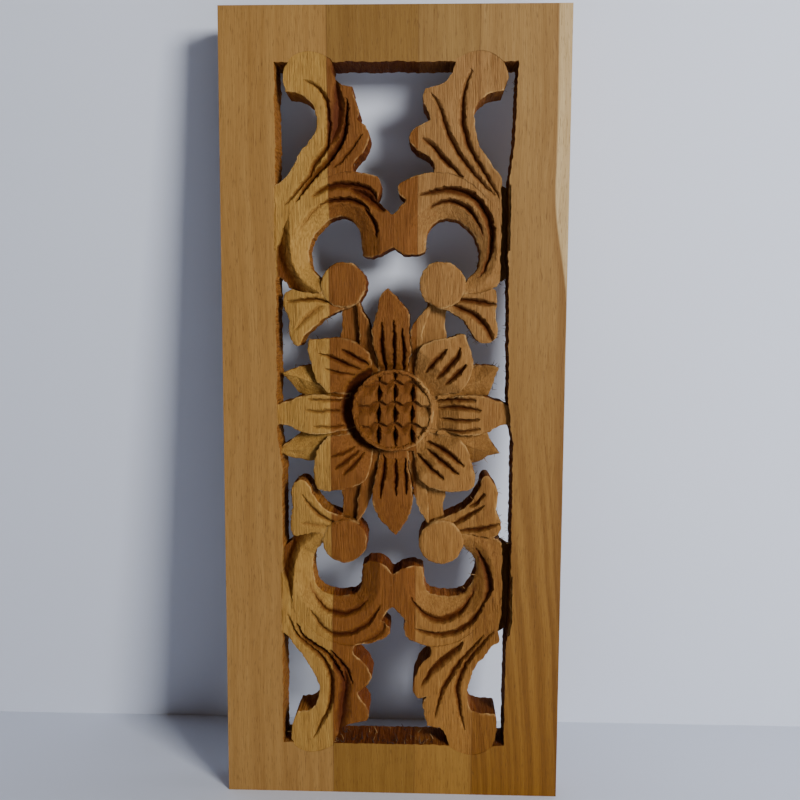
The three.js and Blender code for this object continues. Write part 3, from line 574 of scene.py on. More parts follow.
def head_cuts(points):
    """How deep the crossing grooves of the seed head are."""
    across, up = points.T
    cut = np.zeros(len(points))
    for column in HEAD_COLUMNS:
        beside = np.abs(across - column)
        wave = np.cos(2 * math.pi * (up - HEAD_COLUMN_WAIST) / HEAD_COLUMN_PITCH)
        spindle = HEAD_COLUMN_HALF_WIDTH + HEAD_COLUMN_SWELL * wave
        cut = np.maximum(cut, (1 + 3 * spindle) * np.clip(1 - beside / spindle, 0, 1))
        cut = np.maximum(cut, 0.5 * np.clip(1 - beside / HEAD_COLUMN_BEVEL, 0, 1))
    for row in HEAD_ROWS:
        above = up - head_row(row, across)
        reach = np.where(above > 0, HEAD_ROW_STEEP, HEAD_ROW_GENTLE)
        cut = np.maximum(cut, HEAD_ROW_DEPTH * np.clip(1 - np.abs(above) / reach, 0, 1))
    out = np.hypot(*(points - HEAD_CENTRE).T)
    rim_inner = HEAD_RADIUS - HEAD_RIM
    return cut * (1 - eased(share_between(out, rim_inner - 0.8, rim_inner)))


def head_height(points, cuts):
    """The seed head: a thin rim round facets that grooves cut crosswise."""
    out = np.hypot(*(points - HEAD_CENTRE).T)
    runout = share_between(-points[:, 0], *HEAD_LEFT)
    top = np.where(out > HEAD_RADIUS - HEAD_RIM, DROPS["head_rim"], DROPS["head"])
    return FACE - top - cuts - HEAD_LEFT_FALL * runout


def trough_height(points):
    """How high the bottom of the trough round the seed head is. It is widest and deepest at the left."""
    off = points - HEAD_CENTRE
    out = np.hypot(*off.T)
    left = (1 - off[:, 0] / np.maximum(out, 1)) / 2
    width = TROUGH_WIDTH + TROUGH_LEFT_WIDENING * left ** 2
    depth = TROUGH_DEPTH + TROUGH_LEFT_DEEPENING * left ** 2
    beyond = np.clip((out - HEAD_RADIUS) / width, 0, 1)
    return FACE - depth * (1 - beyond ** 3)


def folded(points):
    """The place in the quarter drawing of a point of the whole drawing."""
    return np.abs(points)


def parts_at(points):
    """Which part is uppermost at each point of the drawing."""
    result = np.full(len(points), OPEN)
    in_window = (np.abs(points) < (DRAWN_HALF_WIDTH, DRAWN_HALF_HEIGHT)).all(1)
    result[~in_window] = BORDER
    place = folded(points)
    for number, (name, corners, _) in reversed(list(enumerate(PARTS))):
        covered = inside(place, corners)
        if name != "leaf":
            covered &= in_window
        if name == "saw_slot":
            covered &= (points[:, 0] > 0) & (result != OPEN)
        result[covered] = number
    result[np.hypot(*(points - HEAD_CENTRE).T) < HEAD_RADIUS] = HEAD
    return result


def tool_marks(points, part):
    """How the tools left the wood of a part uneven."""
    (wave, wave_length), (nick, nick_length) = TOOL_MARKS
    marks = [wave * noise.noise(Vector((x / wave_length, y / wave_length, part)))
             + nick * noise.noise(Vector((x / nick_length, y / nick_length, part))) for x, y in points]
    return np.array(marks)


def rounded_edge(to_edge, wear):
    """How much a worn edge rounds off a surface, at most the wear itself."""
    edge = np.clip(to_edge, 0, wear)
    return wear - np.sqrt(wear ** 2 - (wear - edge) ** 2)


def head_surface(points, wear):
    """What surface_at gives, for the seed head."""
    out = np.hypot(*(points - HEAD_CENTRE).T)
    cuts = head_cuts(points)
    height = head_height(points, cuts) - rounded_edge(HEAD_RADIUS - out, wear)
    # Painted highlight: the rim's outer edge is painted paler towards the right, where the light falls on it
    wear_and_highlight = 0.7 * share_between(out, HEAD_RADIUS - 0.8, HEAD_RADIUS) * share_between(points[:, 0], -14, 8)
    return height, 0.35 * cuts / FULL_CUT, wear_and_highlight


def surface_at(points, part, wear):
    """Height of a part's surface above the back in millimetres, how dark each point is painted for end grain
    and painted shade in a cut, and how much it gets the paler wood of edge wear and painted highlight."""
    if part == BORDER:
        return np.full(len(points), FACE), np.zeros(len(points)), np.zeros(len(points))
    if part == HEAD:
        return head_surface(points, wear)
    name, corners, surface = PARTS[part]
    place = folded(points)
    on_left = points[:, 0] < 0
    cuts = np.zeros(len(points))
    for quarter in QUARTERS:
        mine = ((points >= 0) == (np.array(quarter) > 0)).all(1)
        if name in GOUGES:
            cuts[mine] = gouged(place[mine], GOUGES[name][quarter])
    height = surface(place, cuts)
    if name == "scroll":
        fall = shoulder_fall(place, on_left)
        height = np.minimum(height, FACE - DROPS["scroll"] - fall)
        # Painted shade: on the left the sinking shoulder is darkened as it falls, where it faces away from
        # the light
        cuts = np.where(on_left, np.maximum(cuts, 0.5 * fall), cuts)

    to_rim = np.abs(from_path(place, np.vstack([corners, corners[:1]]), 1)[0])
    to_rim[place.min(1) < 0.4] = np.inf
    if name == "leaf":
        to_rim[place[:, 1] > 121] = np.inf
    if name == "scroll":
        to_rim[inside(place, closed_outline(LEAF))] = np.inf
    height = height - rounded_edge(to_rim, wear) + tool_marks(points, part)
    if "petal" in name or name in ("core", "sepal"):
        trough = trough_height(points)
        # Painted shade: how far the trough sinks below the part also darkens its colour
        cuts = np.maximum(cuts, height - trough)
        height = np.minimum(height, trough)
    return height, np.clip(cuts / FULL_CUT, 0, 1), 1 - share_between(to_rim, 0, WEAR_AND_HIGHLIGHT_WIDTH)


def mirrored(line):
    """A line of the quarter drawing in all four quarters."""
    return [line * (across, up) for across in (1, -1) for up in (1, -1)]


def drawing_lines():
    """The lines that the mesh has to follow: outlines, the bottoms of cuts, ridges and the border."""
    closed = [copy for _, corners, _ in PARTS for copy in mirrored(corners)]
    closed.append(ring(HEAD_CENTRE, HEAD_RADIUS))
    closed.append(ring(HEAD_CENTRE, HEAD_RADIUS - HEAD_RIM))
    half_width, half_height = WIDTH / 2, HEIGHT / 2
    for across, up in ((DRAWN_HALF_WIDTH, DRAWN_HALF_HEIGHT), (half_width, half_height)):
        closed.append(closed_outline([[(-across, -up)], [(across, -up)], [(across, up)], [(-across, up)]]))
    opened = mirrored(smooth_run(PARTING_CUT[0], GOUGE_STEP))
    for cuts in GOUGES.values():
        for quarter in QUARTERS:
            opened += [smooth_run(cut[0], GOUGE_STEP) * quarter for cut in cuts[quarter]]
    opened += mirrored(smooth_run(SCROLL_CREST, 1))
    root = np.array(SEPAL_TIP) - 15 * np.array([math.cos(SEPAL_RIDGE_ANGLE), math.sin(SEPAL_RIDGE_ANGLE)])
    opened += mirrored(smooth_run([root, SEPAL_TIP], 1))
    for column in HEAD_COLUMNS:
        half = math.sqrt((HEAD_RADIUS - HEAD_RIM) ** 2 - column ** 2)
        opened.append(smooth_run([(column, HEAD_CENTRE[1] - half), (column, HEAD_CENTRE[1] + half)]))
    for row in HEAD_ROWS:
        half = math.sqrt((HEAD_RADIUS - HEAD_RIM - 2) ** 2 - (row - HEAD_CENTRE[1]) ** 2)
        across = np.arange(-half, half, 0.5)
        for lift in (0, HEAD_ROW_STEEP):
            opened.append(np.column_stack([across, head_row(row, across) + lift]))
    return closed, opened


def drawing_mesh(spacing):
    """Triangles of the whole drawing that follow its lines: (points, triangles)."""
    closed, opened = drawing_lines()
    points, edges, total = [], [], 0
    for line in closed:
        numbers = np.arange(len(line))
        edges.append(np.column_stack([numbers, np.roll(numbers, -1)]) + total)
        points.append(line)
        total += len(line)
    for line in opened:
        numbers = np.arange(len(line) - 1)
        edges.append(np.column_stack([numbers, numbers + 1]) + total)
        points.append(line)
        total += len(line)
    lines = np.vstack(points)
    rows = np.arange(-DRAWN_HALF_HEIGHT - 4, DRAWN_HALF_HEIGHT + 4, spacing * math.sqrt(0.75))
    columns = np.arange(-DRAWN_HALF_WIDTH - 1, DRAWN_HALF_WIDTH + 1, spacing)
    grid = np.array([
        (across + spacing * (number % 2) / 2, up) for number, up in enumerate(rows) for across in columns])
    chance = np.random.default_rng(7)
    grid += chance.uniform(-0.2, 0.2, grid.shape) * spacing
    part = parts_at(grid)
    grid = grid[(part != OPEN) & (part != BORDER)]
    cell = 0.5 * spacing
    taken = {tuple(key) for key in np.floor(lines / cell).astype(int)}
    free = [tuple(key) not in taken for key in np.floor(grid / cell).astype(int)]
    grid = grid[free]
    every = np.vstack([lines, grid])
    made = delaunay_2d_cdt([Vector(p) for p in every], np.vstack(edges).tolist(), [], 0, 1e-5, False)
    return np.array([tuple(p) for p in made[0]]), np.array(made[2])


def closed_seams(walls):
    """The slivers that close the upright seams where three or more walls meet."""
    open_ends = {}
    for right_top, left_top, left_foot, right_foot in walls:
        for start, end in ((left_top, left_foot), (right_foot, right_top)):
            if start in open_ends.get(end, ()):
                open_ends[end].remove(start)
            else:
                open_ends.setdefault(start, []).append(end)
    before = {}
    for start, ends in open_ends.items():
        for end in ends:
            before.setdefault(end, []).append(start)
    seams = []
    for first in list(before):
        while before.get(first):
            seam = [first]
            place = before[first].pop()
            while place != first:
                seam.append(place)
                place = before[place].pop()
            seams.append(tuple(seam))
    return [seam for seam in seams if len(seam) > 2]


def back_triangles(points, rim):
    """Triangles of the flat back between the sawn edges, facing backwards."""
    made = delaunay_2d_cdt([Vector(p) for p in points], rim, [], 0, 1e-6, True)
    sources = [numbers[0] for numbers in made[3]]
    back = np.array([[sources[corner] for corner in face] for face in made[2]])
    back = back[parts_at(points[back].mean(1)) != OPEN]
    spans = points[back]
    clockwise = np.cross(spans[:, 1] - spans[:, 0], spans[:, 2] - spans[:, 0]) < 0
    back[~clockwise] = back[~clockwise][:, ::-1]
    return back


def wood_mesh(spacing, wear):
    """The carved board as (points in millimetres, faces, each face's finish, each point's marks)."""
    points, triangles = drawing_mesh(spacing)
    corners = points[triangles]
    turned = np.cross(corners[:, 1] - corners[:, 0], corners[:, 2] - corners[:, 0]) < 0
    triangles[turned] = triangles[turned][:, ::-1]
    part = parts_at(corners.mean(1))
    solid = part != OPEN
    triangles, part = triangles[solid], part[solid]

    keys = triangles * (BORDER + 2) + part[:, None]
    unique, numbers = np.unique(keys, return_inverse=True)
    top = numbers.reshape(-1, 3)
    owner, number_part = unique // (BORDER + 2), unique % (BORDER + 2)
    height, cut, wear_and_highlight = np.zeros((3, len(unique)))
    for kind in range(BORDER + 1):
        mine = number_part == kind
        if mine.any():
            height[mine], cut[mine], wear_and_highlight[mine] = surface_at(points[owner[mine]], kind, wear)
    places = np.column_stack([points[owner], height])

    starts = triangles.ravel()
    ends = np.roll(triangles, -1, axis=1).ravel()
    top_starts = top.ravel()
    top_ends = np.roll(top, -1, axis=1).ravel()
    wide = len(points)
    forward = {key: place for place, key in enumerate((starts * wide + ends).tolist())}
    back_number = {}
    steps, sawn, rim = [], [], []
    face_part = np.repeat(part, 3)
    for place, key in enumerate((ends * wide + starts).tolist()):
        other = forward.get(key)
        a, b = int(top_starts[place]), int(top_ends[place])
        if other is None:
            under = []
            for corner in (int(starts[place]), int(ends[place])):
                under.append(back_number.setdefault(corner, len(places) + len(back_number)))
            sawn.append((b, a, under[0], under[1]))
            rim.append((int(starts[place]), int(ends[place])))
        elif face_part[place] > face_part[other]:
            steps.append((b, a, int(top_ends[other]), int(top_starts[other])))
    seams = closed_seams([*steps, *sawn])
    back_corners = np.array(list(back_number))
    back_places = np.column_stack([points[back_corners], np.zeros(len(back_corners))])

    own = {corner: place for place, corner in enumerate(back_corners.tolist())}
    back = back_triangles(points[back_corners], [(own[a], own[b]) for a, b in rim]) + len(places)

    faces = [*top.tolist(), *steps, *seams, *sawn, *back.tolist()]
    finish = np.concatenate([
        np.where(part == BORDER, PLANED, CARVED), np.full(len(steps) + len(seams), CARVED),
        np.full(len(sawn), SAWN), np.full(len(back), PLANED),
    ])
    plain = np.zeros(len(back_places))
    marks = {"cut": np.concatenate([cut, plain]), "wear_and_highlight": np.concatenate([wear_and_highlight, plain])}
    return np.vstack([places, back_places]), faces, finish, marks


def hand_pulled(places):
    """Pulls the drawing about as the carver's hand and saw did."""
    pulled = places.copy()
    in_border = np.maximum(np.abs(places[:, 0]) - DRAWN_HALF_WIDTH, np.abs(places[:, 1]) - DRAWN_HALF_HEIGHT)
    loose = 1 - eased(share_between(in_border, -2.6, 0))
    for across, up, pull_across, pull_up in HAND_PULLS:
        far = np.hypot(places[:, 0] - across, places[:, 1] - up) / HAND_REACH
        strength = loose * np.where(far < 1, (1 - np.minimum(far, 1) ** 2) ** 2, 0)
        pulled[:, 0] += strength * pull_across
        pulled[:, 1] += strength * pull_up
    for side, wander in ((-1, LEFT_STILE_WANDER), (1, RIGHT_STILE_WANDER)):
        ups, moves = zip(*wander)
        reach = 1 - eased(share_between(np.abs(side * places[:, 0] - DRAWN_HALF_WIDTH), 1.2, 7))
        pulled[:, 0] -= side * np.interp(places[:, 1], ups, moves) * reach
    wobbly = 1 - eased(share_between(in_border, -0.5, 2))
    # Without a seed the wobble would differ from run to run
    noise.seed_set(5)
    for place in np.flatnonzero(wobbly > 0):
        x, y = places[place, :2]
        slow = noise.noise_vector(Vector((x / SAW_WOBBLE_LENGTH, y / SAW_WOBBLE_LENGTH, 0)))
        fast = noise.noise_vector(Vector((x / SAW_TOOTH_LENGTH, y / SAW_TOOTH_LENGTH, 9)))
        pulled[place, 0] += wobbly[place] * (SAW_WOBBLE * slow.x + SAW_RAGGEDNESS * fast.x)
        pulled[place, 1] += wobbly[place] * (SAW_WOBBLE * slow.y + SAW_RAGGEDNESS * fast.y)
    return pulled


def fitted(places, sizes):
    """Fits the drawing's opening to the panel and stands the board up, in metres."""
    across_scale = (WIDTH / 2 - sizes.stile_width / MM) / DRAWN_HALF_WIDTH
    up_scale = (HEIGHT / 2 - sizes.rail_height / MM) / DRAWN_HALF_HEIGHT
    placed = places.copy()
    off_sides = np.abs(places[:, 0]) < WIDTH / 2 - 1
    placed[off_sides, 0] *= across_scale
    off_ends = np.abs(places[:, 1]) < HEIGHT / 2 - 1
    placed[off_ends, 1] *= up_scale
    return np.column_stack([placed[:, 0], -placed[:, 2], placed[:, 1]]) * MM


class GRILLE_OT_carved_panel(bpy.types.Operator):
    """Carve the teak panel"""
    bl_idname = "grille.carved_panel"
    bl_label = "Carved panel"

    def execute(self, context):
        sizes = context.scene.grille_sizes
        places, faces, finish, marks = wood_mesh(sizes.point_spacing / MM, sizes.edge_wear / MM)
        mesh = bpy.data.meshes.new("carved_teak_panel")
        mesh.from_pydata(fitted(hand_pulled(places), sizes).tolist(), [], faces)
        mesh.polygons.foreach_set("material_index", finish.astype(np.int32))
        for name, amounts in marks.items():
            attribute = mesh.attributes.new(name, "FLOAT", "POINT")
            attribute.data.foreach_set("value", amounts.astype(np.float32))
        panel = bpy.data.objects.new("carved_teak_panel", mesh)
        context.collection.objects.link(panel)
        bpy.ops.object.select_all(action="DESELECT")
        panel.select_set(True)
        context.view_layer.objects.active = panel
        bpy.ops.object.shade_smooth_by_angle(angle=math.radians(38))
        for material in teak_materials(context.scene.grille_colours):
            mesh.materials.append(material)
        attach(panel, "root")
        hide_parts("carved_panel")
        return {"FINISHED"}


def colour_property(name, description, code):
    """A colour setting, with its default as an sRGB hex code."""
    return FloatVectorProperty(name=name, description=description, subtype="COLOR", default=linear(code))


class TeakColours(bpy.types.PropertyGroup):
    pale_strip: colour_property("Pale strip", "Planed teak of the left strip", "#97733f")
    brown_strip: colour_property("Brown strip", "Planed teak of the middle strip", "#80602f")
    tan_strip: colour_property("Tan strip", "Planed teak of the third strip", "#8c6d3d")
    right_strip: colour_property("Right strip", "Planed teak of the right strip", "#957545")
    carved_pale: colour_property("Carved pale strip", "Carved teak of the left strip", "#9a773b")
    carved_brown: colour_property("Carved brown strip", "Carved teak of the middle strip", "#70461a")
    carved_tan: colour_property("Carved tan strip", "Carved teak of the third strip", "#8a673c")
    carved_right: colour_property("Carved right strip", "Carved teak of the right strip", "#8f6c40")
    sapwood: colour_property("Sapwood", "The pale band along the right edge", "#c4ab7e")
    # Paler wood of rubbed edges, also used as a painted highlight on edges that catch the light
    wear_and_highlight: colour_property("Worn edge", "Edges that were rubbed pale", "#b5925c")
    pore: colour_property("Pore", "The dark streaks of teak's open pores", "#4a2c12")


def add_node(tree, kind, inputs=(), **settings):
    """Adds a node, sets its settings, and sets or links its inputs by name or number."""
    made = tree.nodes.new(kind)
    for name, value in settings.items():
        setattr(made, name, value)
    for name, value in dict(inputs).items():
        if isinstance(value, bpy.types.NodeSocket):
            tree.links.new(value, made.inputs[name])
        else:
            made.inputs[name].default_value = value
    return made


def opaque(colour):
    return (*colour, 1)


# The joints between the four strips of wood, from the left: (place across in millimetres, lean, and
# how the strip to the right of it changes in colour on its way to the bottom)
STRIP_JOINTS = [(-24, 0.0067, (1.05, 1, 0.75)), (9, 0, (1.02, 0.9, 0.55)), (31.5, 0, (0.69, 0.52, 0.155))]
# What the wood's own colour is multiplied by in these places
SAPWOOD_LINE = (0.62, 0.5, 0.42, 1)
LATE_WOOD = (0.74, 0.67, 0.58, 1)
# End grain darkening, which also serves as painted shade in the cuts
END_GRAIN_AND_SHADE = (0.46, 0.27, 0.15, 1)


def glued_strips(tree, across, up, strips):
    """Strips of wood glued edge to edge: their colour, a thin line at each joint, and the last strip."""
    low = add_node(tree, "ShaderNodeMapRange", {
        "Value": up, "From Min": 130 * MM, "From Max": -150 * MM}).outputs[0]
    tone, glue = opaque(strips[0]), 0
    for strip, (where, lean, deepening) in zip(strips[1:], STRIP_JOINTS):
        leaning = add_node(tree, "ShaderNodeMath", {0: up, 1: lean, 2: across}, operation="MULTIPLY_ADD")
        past = add_node(tree, "ShaderNodeMapRange", {
            "Value": leaning.outputs[0], "From Min": (where - 0.1) * MM, "From Max": (where + 0.1) * MM})
        deeper = add_node(tree, "ShaderNodeMix", {
            0: low, 6: opaque(strip), 7: opaque([a * b for a, b in zip(strip, deepening)])}, data_type="RGBA")
        tone = add_node(tree, "ShaderNodeMix", {
            0: past.outputs[0], 6: tone, 7: deeper.outputs[2]}, data_type="RGBA").outputs[2]
        near = add_node(tree, "ShaderNodeMath", {
            0: leaning.outputs[0], 1: where * MM, 2: 0.25 * MM}, operation="COMPARE")
        glue = add_node(tree, "ShaderNodeMath", {0: near.outputs[0], 1: glue}, operation="MAXIMUM").outputs[0]
    return tone, glue, past.outputs[0]


def with_sapwood(tree, tone, across, up, wander, sapwood):
    """Adds the sapwood band, which runs out of the upper right edge behind a brown line."""
    bend = add_node(tree, "ShaderNodeMapRange", {
        "Value": up, "From Min": 85 * MM, "From Max": 38 * MM, "To Max": -5 * MM},
        interpolation_type="SMOOTHSTEP").outputs[0]
    curved = add_node(tree, "ShaderNodeVectorMath", {0: wander, 1: (0.25, 0, 0)}, operation="MULTIPLY")
    curved = add_node(tree, "ShaderNodeSeparateXYZ", {"Vector": curved.outputs[0]}).outputs["X"]
    inwards = add_node(tree, "ShaderNodeMath", {0: across, 1: 0.75, 2: curved}, operation="MULTIPLY_ADD")
    inwards = add_node(tree, "ShaderNodeMath", {0: inwards.outputs[0], 1: bend}, operation="ADD").outputs[0]
    band = add_node(tree, "ShaderNodeMapRange", {
        "Value": inwards, "From Min": 60.6 * MM, "From Max": 61.4 * MM}).outputs[0]
    line = add_node(tree, "ShaderNodeMapRange", {
        "Value": inwards, "From Min": 57 * MM, "From Max": 60.5 * MM}).outputs[0]
    line = add_node(tree, "ShaderNodeMath", {0: line, 1: 0.45}, operation="MULTIPLY").outputs[0]
    tone = add_node(tree, "ShaderNodeMix", {
        0: line, 6: tone, 7: SAPWOOD_LINE}, data_type="RGBA", blend_type="MULTIPLY").outputs[2]
    return add_node(tree, "ShaderNodeMix", {
        0: band, 6: tone, 7: opaque(sapwood)}, data_type="RGBA").outputs[2]


def growth_rings(tree, up, wander, straight, last_strip):
    """Growth rings as a share from 0 to 1: straight ones, and nested arches low on the last strip."""
    apex = add_node(tree, "ShaderNodeVectorMath", {
        0: wander, 1: (-17 * MM, 0, 185 * MM)}, operation="ADD").outputs[0]
    arches = add_node(tree, "ShaderNodeVectorMath", {
        0: apex, 1: (1 / (3 * MM), 0, 1 / (17 * MM))}, operation="MULTIPLY").outputs[0]
    arches = add_node(tree, "ShaderNodeVectorMath", {0: arches}, operation="LENGTH").outputs["Value"]
    rings = add_node(tree, "ShaderNodeTexNoise", {
        "W": arches, "Scale": 1, "Detail": 2}, noise_dimensions="1D")
    arched = add_node(tree, "ShaderNodeMapRange", {
        "Value": rings.outputs["Fac"], "From Min": 0.35, "From Max": 0.6}).outputs[0]
    below = add_node(tree, "ShaderNodeMapRange", {
        "Value": up, "From Min": 20 * MM, "From Max": -50 * MM}).outputs[0]
    below = add_node(tree, "ShaderNodeMath", {0: below, 1: last_strip}, operation="MULTIPLY").outputs[0]
    return add_node(tree, "ShaderNodeMix", {0: below, 2: straight, 3: arched}).outputs[0]


def with_worn_highlit_edges(tree, tone, place, amount, wear_and_highlight):
    """Adds the paler wood, in patches, where hands and sandpaper touched the edges; it also paints a
    highlight where edges catch the light.
    """
    edge = add_node(tree, "ShaderNodeAttribute", attribute_name="wear_and_highlight").outputs["Fac"]
    patches = add_node(tree, "ShaderNodeTexNoise", {"Vector": place, "Scale": 1 / (4 * MM), "Detail": 2})
    patches = add_node(tree, "ShaderNodeMapRange", {
        "Value": patches.outputs["Fac"], "From Min": 0.42, "From Max": 0.66, "To Max": 0.75}).outputs[0]
    edge = add_node(tree, "ShaderNodeMath", {0: edge, 1: patches}, operation="MULTIPLY").outputs[0]
    edge = add_node(tree, "ShaderNodeMath", {0: edge, 1: amount}, operation="MULTIPLY").outputs[0]
    return add_node(tree, "ShaderNodeMix", {0: edge, 6: tone, 7: opaque(wear_and_highlight)}, data_type="RGBA").outputs[2]


def teak_material(name, colours, strips, finish):
    """Teak: straight-grained, waxy brown wood with open pores that show as fine dark streaks."""
    material = bpy.data.materials.new(name)
    material.use_nodes = True
    tree = material.node_tree
    tree.nodes.clear()
    place = add_node(tree, "ShaderNodeTexCoord").outputs["Object"]
    apart = add_node(tree, "ShaderNodeSeparateXYZ", {"Vector": place})
    across, up = apart.outputs["X"], apart.outputs["Z"]

    # The grain wanders by a few millimetres as it climbs
    slow = add_node(tree, "ShaderNodeTexNoise", {"Vector": place, "Scale": 1 / (70 * MM), "Detail": 1})
    wander = add_node(tree, "ShaderNodeVectorMath", {
        0: slow.outputs["Color"], 1: (7 * MM, 0, 0), 2: place}, operation="MULTIPLY_ADD").outputs[0]

    def streaks(size, detail, low_end, high_end):
        """Streaks of a mean size across, through and along the board, as a share from 0 to 1."""
        stretch = [1 / (length * MM) for length in size]
        drawn = add_node(tree, "ShaderNodeVectorMath", {0: wander, 1: stretch}, operation="MULTIPLY")
        pattern = add_node(tree, "ShaderNodeTexNoise", {
            "Vector": drawn.outputs[0], "Scale": 1, "Detail": detail})
        return add_node(tree, "ShaderNodeMapRange", {
            "Value": pattern.outputs["Fac"], "From Min": low_end, "From Max": high_end}).outputs[0]

    tone, glue, last_strip = glued_strips(tree, across, up, strips)
    tone = with_sapwood(tree, tone, across, up, wander, colours.sapwood)
    rings = growth_rings(tree, up, wander, streaks((3.4, 3.4, 170), 3, 0.36, 0.86), last_strip)
    fibre = streaks(finish["fibre"], 3, 0.3, 0.7)
    for share, shade in ((rings, LATE_WOOD), (fibre, opaque(finish["between_fibres"]))):
        tone = add_node(tree, "ShaderNodeMix", {
            0: share, 6: tone, 7: shade}, data_type="RGBA", blend_type="MULTIPLY").outputs[2]
    pores = streaks((0.28, 0.28, 3.2), 1, 0.6, 0.72)
    for dark, strength in ((pores, 0.42), (glue, 0.3)):
        share = add_node(tree, "ShaderNodeMath", {0: dark, 1: strength}, operation="MULTIPLY").outputs[0]
        tone = add_node(tree, "ShaderNodeMix", {
            0: share, 6: tone, 7: opaque(colours.pore)}, data_type="RGBA").outputs[2]

    # The gouges bare rough end grain, darker and redder than the face; the same mark also paints shade into
    # the cuts, the trough round the seed head and the left shoulders
    cut = add_node(tree, "ShaderNodeAttribute", attribute_name="cut").outputs["Fac"]
    cut = add_node(tree, "ShaderNodeMapRange", {"Value": cut, "From Min": 0.04, "From Max": 0.6}).outputs[0]
    for share, shade in ((cut, END_GRAIN_AND_SHADE), (1, opaque(finish["shade"]))):
        tone = add_node(tree, "ShaderNodeMix", {
            0: share, 6: tone, 7: shade}, data_type="RGBA", blend_type="MULTIPLY").outputs[2]
    tone = with_worn_highlit_edges(tree, tone, place, finish["wear_and_highlight"], colours.wear_and_highlight)

    rough = add_node(tree, "ShaderNodeMapRange", {
        "Value": fibre, "To Min": finish["roughness"] - 0.05,
        "To Max": finish["roughness"] + 0.08}).outputs[0]
    relief = add_node(tree, "ShaderNodeMath", {0: pores, 1: -0.6, 2: fibre}, operation="MULTIPLY_ADD")
    raised = add_node(tree, "ShaderNodeBump", {
        "Height": relief.outputs[0], "Strength": finish["bump"], "Distance": finish["bump_height"] * MM})
    shader = add_node(tree, "ShaderNodeBsdfPrincipled", {
        "Base Color": tone, "Roughness": rough, "IOR": 1.5, "Specular IOR Level": 0.15,
        "Normal": raised.outputs[0]})
    add_node(tree, "ShaderNodeOutputMaterial", {"Surface": shader.outputs[0]})
    return material


def teak_materials(colours):
    """The board's three finishes: planed on the border and back, carved, and sawn in the openings."""
    planed = (colours.pale_strip, colours.brown_strip, colours.tan_strip, colours.right_strip)
    carved = (colours.carved_pale, colours.carved_brown, colours.carved_tan, colours.carved_right)
    return [
        teak_material("teak_planed", colours, planed, {
            "fibre": (0.3, 0.3, 14), "between_fibres": (0.76, 0.7, 0.62), "shade": (1.03, 1.04, 1.06),
            "wear_and_highlight": 0, "roughness": 0.55, "bump": 0.35, "bump_height": 0.08}),
        teak_material("teak_carved", colours, carved, {
            "fibre": (0.4, 0.4, 9), "between_fibres": (0.66, 0.58, 0.48), "shade": (1.16, 1.17, 1.18),
            "wear_and_highlight": 1, "roughness": 0.68, "bump": 0.9, "bump_height": 0.18}),
        teak_material("teak_sawn", colours, carved, {
            "fibre": (0.5, 8, 0.5), "between_fibres": (0.5, 0.38, 0.3), "shade": (1.15, 0.85, 0.62),
            "wear_and_highlight": 0, "roughness": 0.85, "bump": 1, "bump_height": 0.4}),
    ]


class SplinterSizes(bpy.types.PropertyGroup):
    thickness: FloatProperty(
        name="Thickness", description="Width of a loose fibre at its root", default=0.32 * MM, unit="LENGTH")
    # The pale fibre colour is painted light and the dark one painted shade: lit and shaded copies of the same
    # fibre
    pale: colour_property("Pale fibre", "Colour of fibres that stand in the light", "#a07a48")
    dark: colour_property("Dark fibre", "Colour of charred and dusty fibres", "#3a2012")


def fibre_material(name, colour):
    """A loose wood fibre: dull and dry."""
    material = bpy.data.materials.new(name)
    material.use_nodes = True
    tree = material.node_tree
    tree.nodes.clear()
    place = add_node(tree, "ShaderNodeTexCoord").outputs["Object"]
    tint = add_node(tree, "ShaderNodeTexNoise", {"Vector": place, "Scale": 1 / (3 * MM)}).outputs["Fac"]
    tone = add_node(tree, "ShaderNodeMix", {
        0: tint, 6: opaque(colour), 7: opaque([0.5 * part for part in colour])}, data_type="RGBA")
    shader = add_node(tree, "ShaderNodeBsdfPrincipled", {"Base Color": tone.outputs[2], "Roughness": 0.8})
    add_node(tree, "ShaderNodeOutputMaterial", {"Surface": shader.outputs[0]})
    return material


def single_fibre(name, thickness):
    """Models one bent, tapering fibre."""
    bpy.ops.object.select_all(action="DESELECT")
    bpy.ops.mesh.primitive_circle_add(vertices=4, radius=thickness / 2, fill_type="NGON")
    bpy.ops.object.mode_set(mode="EDIT")
    bpy.ops.mesh.select_all(action="SELECT")
    tip = Vector()
    for lean in FIBRE_BENDS:
        step = Vector((lean, 0, 1)) * FIBRE_LENGTH / 4 * MM
        bpy.ops.mesh.extrude_region_move(TRANSFORM_OT_translate={"value": step})
        tip += step
        bpy.ops.transform.resize(value=[FIBRE_TAPER] * 3, center_override=tip)
    bpy.ops.mesh.select_all(action="SELECT")
    bpy.ops.mesh.normals_make_consistent(inside=False)
    bpy.ops.object.mode_set(mode="OBJECT")
    bpy.context.object.name = name
    return bpy.context.object


def fibre_stand(face, corners, longest, chance):
    """Where a fibre stands on a sawn wall, how it is turned, and its length."""
    top, foot = (corners[0] + corners[1]) / 2, (corners[2] + corners[3]) / 2
    root = top.lerp(foot, 0.04 + 0.86 * chance.random() ** 2)
    lean = Vector([chance.uniform(-0.8, 0.8) for _ in range(3)])
    length = longest * MM * chance.uniform(0.25, 1) ** 1.5
    way = (face.normal + lean).normalized()
    way.y = max(way.y, (CAD_BOX[0][1] + 0.3 * MM - root.y) / length / 1.4)
    twist = Quaternion(way, chance.uniform(0, 2 * math.pi))
    turn = twist @ way.to_track_quat("Z", "X")

    # Fibres whose tips would stand out before the face or behind the back are shortened
    forwards = (turn @ FIBRE_TIP).y * length
    room = (root.y - CAD_BOX[0][1] if forwards < 0 else CAD_BOX[1][1] - root.y) - FIBRE_MARGIN * MM
    length *= min(1, room / abs(forwards))
    return root - FIBRE_SINK * MM * face.normal, turn, length


